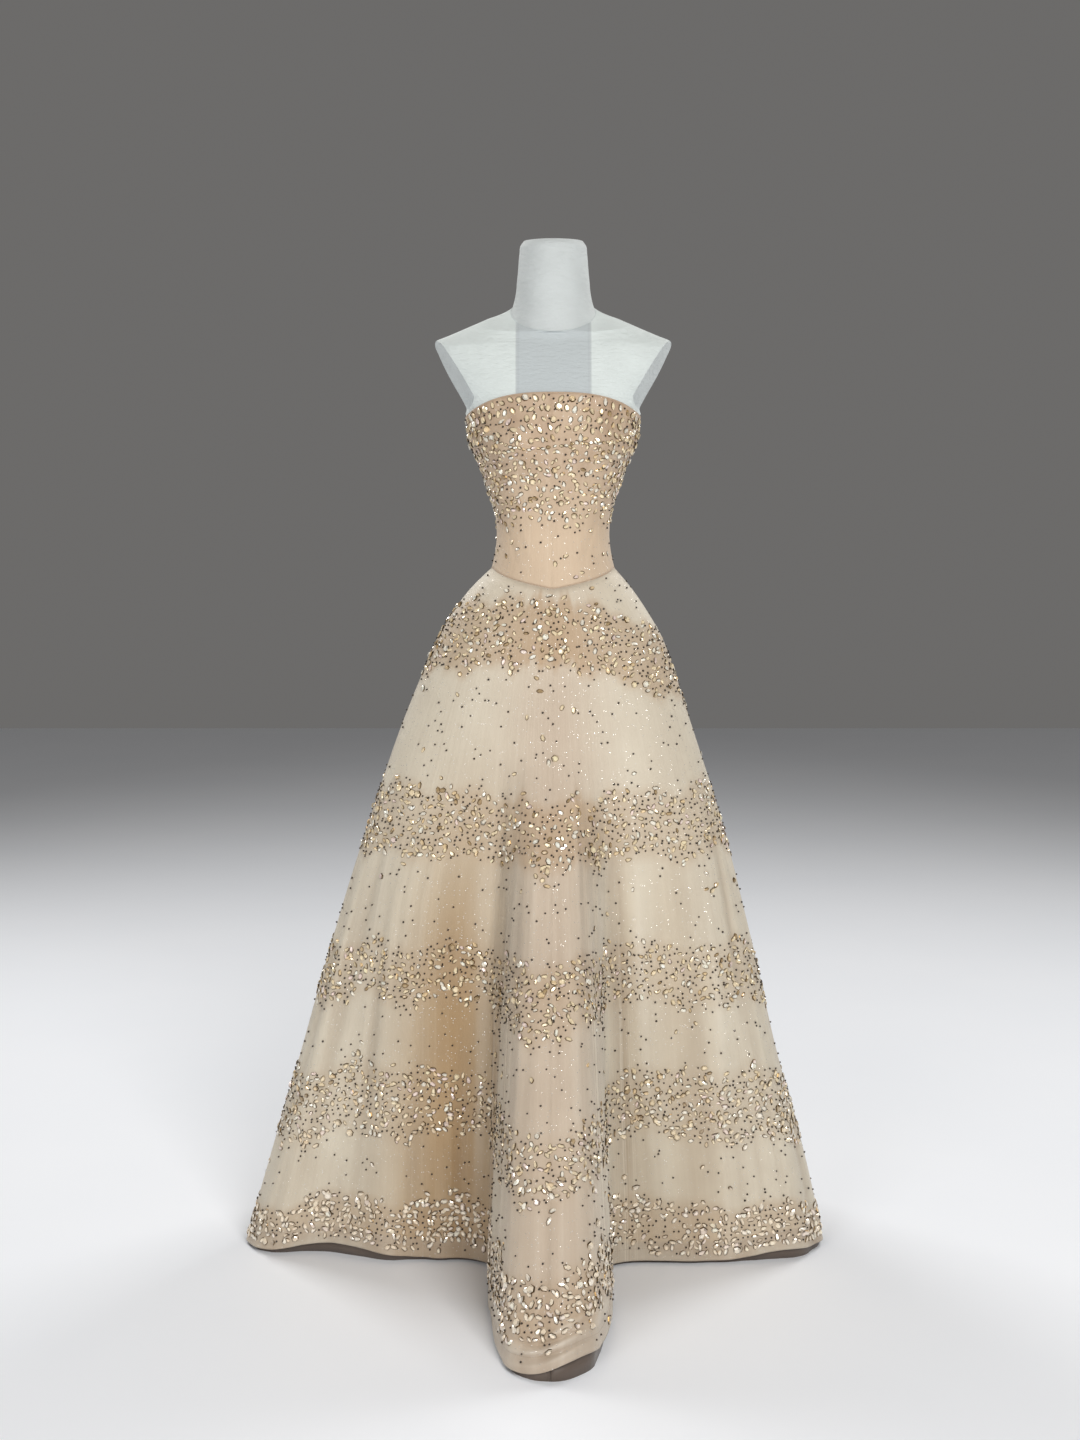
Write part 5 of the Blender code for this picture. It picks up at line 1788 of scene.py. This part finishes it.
class GOWN_OT_skirt(bpy.types.Operator):
    """Build the outer skirt's three panels with their bands of stones and beads"""
    bl_idname = "gown.skirt"
    bl_label = "Skirt"

    def execute(self, context):
        look = settings()
        finish = skirt_tulle()
        beads = bpy.data.materials["bronze beads"]
        seam, hem = waist_seam_height(math.pi), hem_height(math.pi)
        zip_foot = (seam - ZIP_END + np.array(ZIP_CLOSING)) / (seam - hem)
        shares = np.sort(np.concatenate([spaced(*SKIRT_ROWS), zip_foot]))
        grid = skirt_cloth(shares, SKIRT_PER_FOLD)
        right, back, left = (FOLD[name] for name in ("side tip right", "back pipe tip",
                                                     "side tip left"))
        half_gap = np.full(len(grid), SEAM_GAP / 2)
        high = grid[:, back * SKIRT_PER_FOLD, 2]
        at_zip = half_gap + (ZIP_WIDTH / 2 + SEAM_GAP / 2) * smooth(
            ZIP_END - ZIP_CLOSING[1], ZIP_END - ZIP_CLOSING[0], high)
        rng = np.random.default_rng(look.seed + 2)
        stones, beaded = self.scatter(grid, look, rng)
        stitches = self.hem_stitches(grid)
        for name, first, last, ends in (
                ("skirt_front", left, FOLD_COUNT + right, (half_gap, half_gap)),
                ("skirt_back_right", right, back, (half_gap, at_zip)),
                ("skirt_back_left", back, left, (at_zip, half_gap))):
            cut = cut_out(grid, first * SKIRT_PER_FOLD, last * SKIRT_PER_FOLD, *ends)
            piece = put_cloth(name, cut, SKIRT_WALL - SEAM_GAP, finish)
            for channel, number in CHANNELS.items():
                put_values(piece, channel, cut[..., number])
            put_values(piece, "run", cut[..., STEP] * HEM_LENGTH / FOLD_COUNT)
            kept = between(stones, first, last, FOLD_COUNT)
            size = 0.5 * look.stone_length * rng.uniform(*SKIRT_STONE_SIZES, len(kept))
            lowness = low_down(stones) ** 2
            size *= 1 + LOW_STONE_GROWTH * lowness
            lie = rng.uniform(0, math.pi, len(kept))
            on_beads = chosen(beaded, between(beaded, first, last, FOLD_COUNT))
            own = [put_stones(name + "_stones", chosen(stones, kept), size[kept],
                              SKIRT_STONE_SIDES, lie[kept], rng, LOW_STONE_PALE * lowness[kept]),
                   put_beads(name + "_beads", on_beads, look.bead_size / 2, beads, rng)]
            if name == "skirt_front":
                own.append(stitches)
        return {"FINISHED"}

    def scatter(self, grid, look, rng):
        """Seats of the skirt's stones and beads: dense in the bands, sparse between them, and
        thinner down the sides of the pipe folds."""
        sites = seats(grid, *lattice(grid, look.stone_spacing, SKIRT_JITTER, rng))
        band = band_strength(sites["looks"][:, 1], np.remainder(sites["looks"][:, 0], FOLD_COUNT))
        clear = (sites["looks"][:, 3] > WAIST_CLEAR) & (sites["looks"][:, 4] > HEM_CLEAR)
        clear &= ~beside_zip(sites)
        for fold in THINNED:
            away = np.remainder(sites["looks"][:, 0] - FOLD[fold] + 3, FOLD_COUNT) - 3
            band = band * (1 - THINNING * np.exp(-(away / THIN_REACH) ** 2))
        low = low_down(sites)
        stones = mix(PLAIN_STONES, mix(BAND_STONES, LOW_BAND_STONES, low), band)
        beads = mix(PLAIN_BEADS, mix(BAND_BEADS, LOW_BAND_BEADS, low), band)
        draw = rng.random(len(band))
        return (chosen(sites, clear & (draw < stones)),
                chosen(sites, clear & (draw >= stones) & (draw < stones + beads)))

    def hem_stitches(self, grid):
        """Short stitches in a line round the hem."""
        above = grid[..., CHANNELS["hem"]].mean(axis=1)
        row = np.interp(HEM_STITCH_LINE, above, np.arange(len(above)))
        low = int(row)
        ring = arc_lengths(grid[..., :3])[low]
        places = np.arange(0, ring[-1], STITCH_PITCH)
        column = np.interp(places, ring, np.arange(len(ring)))
        seat = seats(grid, np.full(len(places), row), column)
        made = put_blocks("skirt_hem_stitches", seat, STITCH_SIZE, mottled(*SEWING_THREAD))
        return made


class GOWN_OT_underskirt(bpy.types.Operator):
    """Build the eight gores of the underskirt"""
    bl_idname = "gown.underskirt"
    bl_label = "Underskirt"

    def execute(self, context):
        finish = lining_satin()
        grid = underskirt_cloth(spaced(*UNDERSKIRT_ROWS), UNDERSKIRT_PER_FOLD)
        half_gap = np.full(len(grid), SEAM_GAP / 2)
        for name, start, stop in UNDERSKIRT_GORES:
            first = FOLD[start] * UNDERSKIRT_PER_FOLD
            last = (FOLD[stop] or FOLD_COUNT) * UNDERSKIRT_PER_FOLD
            cut = cut_out(grid, first, last, half_gap, half_gap)
            piece = put_cloth(name, cut, UNDERSKIRT_WALL - UNDERSKIRT_SLACK, finish)
        return {"FINISHED"}


class GOWN_OT_zip(bpy.types.Operator):
    """Finish the zip's tape, slider and pull, and set its teeth and stitches"""
    bl_idname = "gown.zip"
    bl_label = "Zip"

    def execute(self, context):
        brass = mottled(*ZIP_BRASS)
        paint_nodes(mottled(*ZIP_TAPE), "zip_tape")
        paint_nodes(brass, "zip_slider", "zip_pull")
        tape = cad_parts["zip_tape"].data.vertices
        place = np.zeros(len(tape) * 3, np.float32)
        tape.foreach_get("co", place)
        place = place.reshape(-1, 3)
        high = np.unique(np.round(place[:, 2], 5))
        face = np.array([place[np.abs(place[:, 2] - z) < SAME_HEIGHT, 1].max() for z in high])
        closed_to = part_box("zip_slider")[0].z - SLIDER_CLEAR
        heights = np.arange(high[0] + TOOTH_INSET, closed_to, TOOTH_PITCH / 2)
        side = np.where(np.arange(len(heights)) % 2, 1, -1)
        teeth = self.on_tape(side * TOOTH_X, heights, high, face, 0.0)
        made = put_blocks("zip_teeth", teeth, TOOTH_SIZE, brass)
        heights = np.arange(high[0], high[-1] - ZIP_STITCH_INSET, STITCH_PITCH)
        both = np.concatenate([heights, heights])
        side = np.repeat((-ZIP_STITCH_X, ZIP_STITCH_X), len(heights))
        seat = self.on_tape(side, both, high, face, ZIP_STITCH_SUNK)
        seat["along"] = np.cross(seat["along"], seat["out"])
        made = put_blocks("zip_stitches", seat, STITCH_SIZE, bpy.data.materials["sewing thread"])
        return {"FINISHED"}

    def on_tape(self, x, height, high, face, sunk):
        """Seats on the tape's face, which leans back as its outline does."""
        depth = np.interp(height, high, face) - sunk
        lean = (np.interp(height + LEAN_STEP, high, face)
                - np.interp(height - LEAN_STEP, high, face)) / (2 * LEAN_STEP)
        out = unit(np.stack([0 * lean, 1 + 0 * lean, -lean], axis=-1))
        along = np.broadcast_to((-1.0, 0.0, 0.0), out.shape).copy()
        return {"point": np.stack([x, depth, height], axis=-1), "out": out, "along": along}


class GOWN_PT_panel(bpy.types.Panel):
    """The gown's sizes, colours and pieces"""
    bl_idname = "GOWN_PT_panel"
    bl_label = "A-line evening gown"
    bl_space_type = "VIEW_3D"
    bl_region_type = "UI"
    bl_category = "Gown"

    def draw(self, context):
        for name in GownSettings.__annotations__:
            self.layout.prop(context.scene.gown_settings, name)
        for piece in STEPS:
            self.layout.operator(piece.bl_idname)


STEPS = (GOWN_OT_stage, GOWN_OT_dress_form, GOWN_OT_bodice, GOWN_OT_skirt, GOWN_OT_underskirt,
         GOWN_OT_zip)
CLASSES = (GownSettings, *STEPS, GOWN_PT_panel)


def register():
    """Register the settings, operators and panel."""
    for kind in CLASSES:
        bpy.utils.register_class(kind)
    bpy.types.Scene.gown_settings = PointerProperty(type=GownSettings)


def unregister():
    """Take them away again."""
    del bpy.types.Scene.gown_settings
    for kind in reversed(CLASSES):
        bpy.utils.unregister_class(kind)


def main():
    """Build everything in order."""
    register()
    for piece in STEPS:
        group, name = piece.bl_idname.split(".")
        getattr(getattr(bpy.ops, group), name)()
    bpy.context.view_layer.update()


if __name__ == "__main__":
    main()
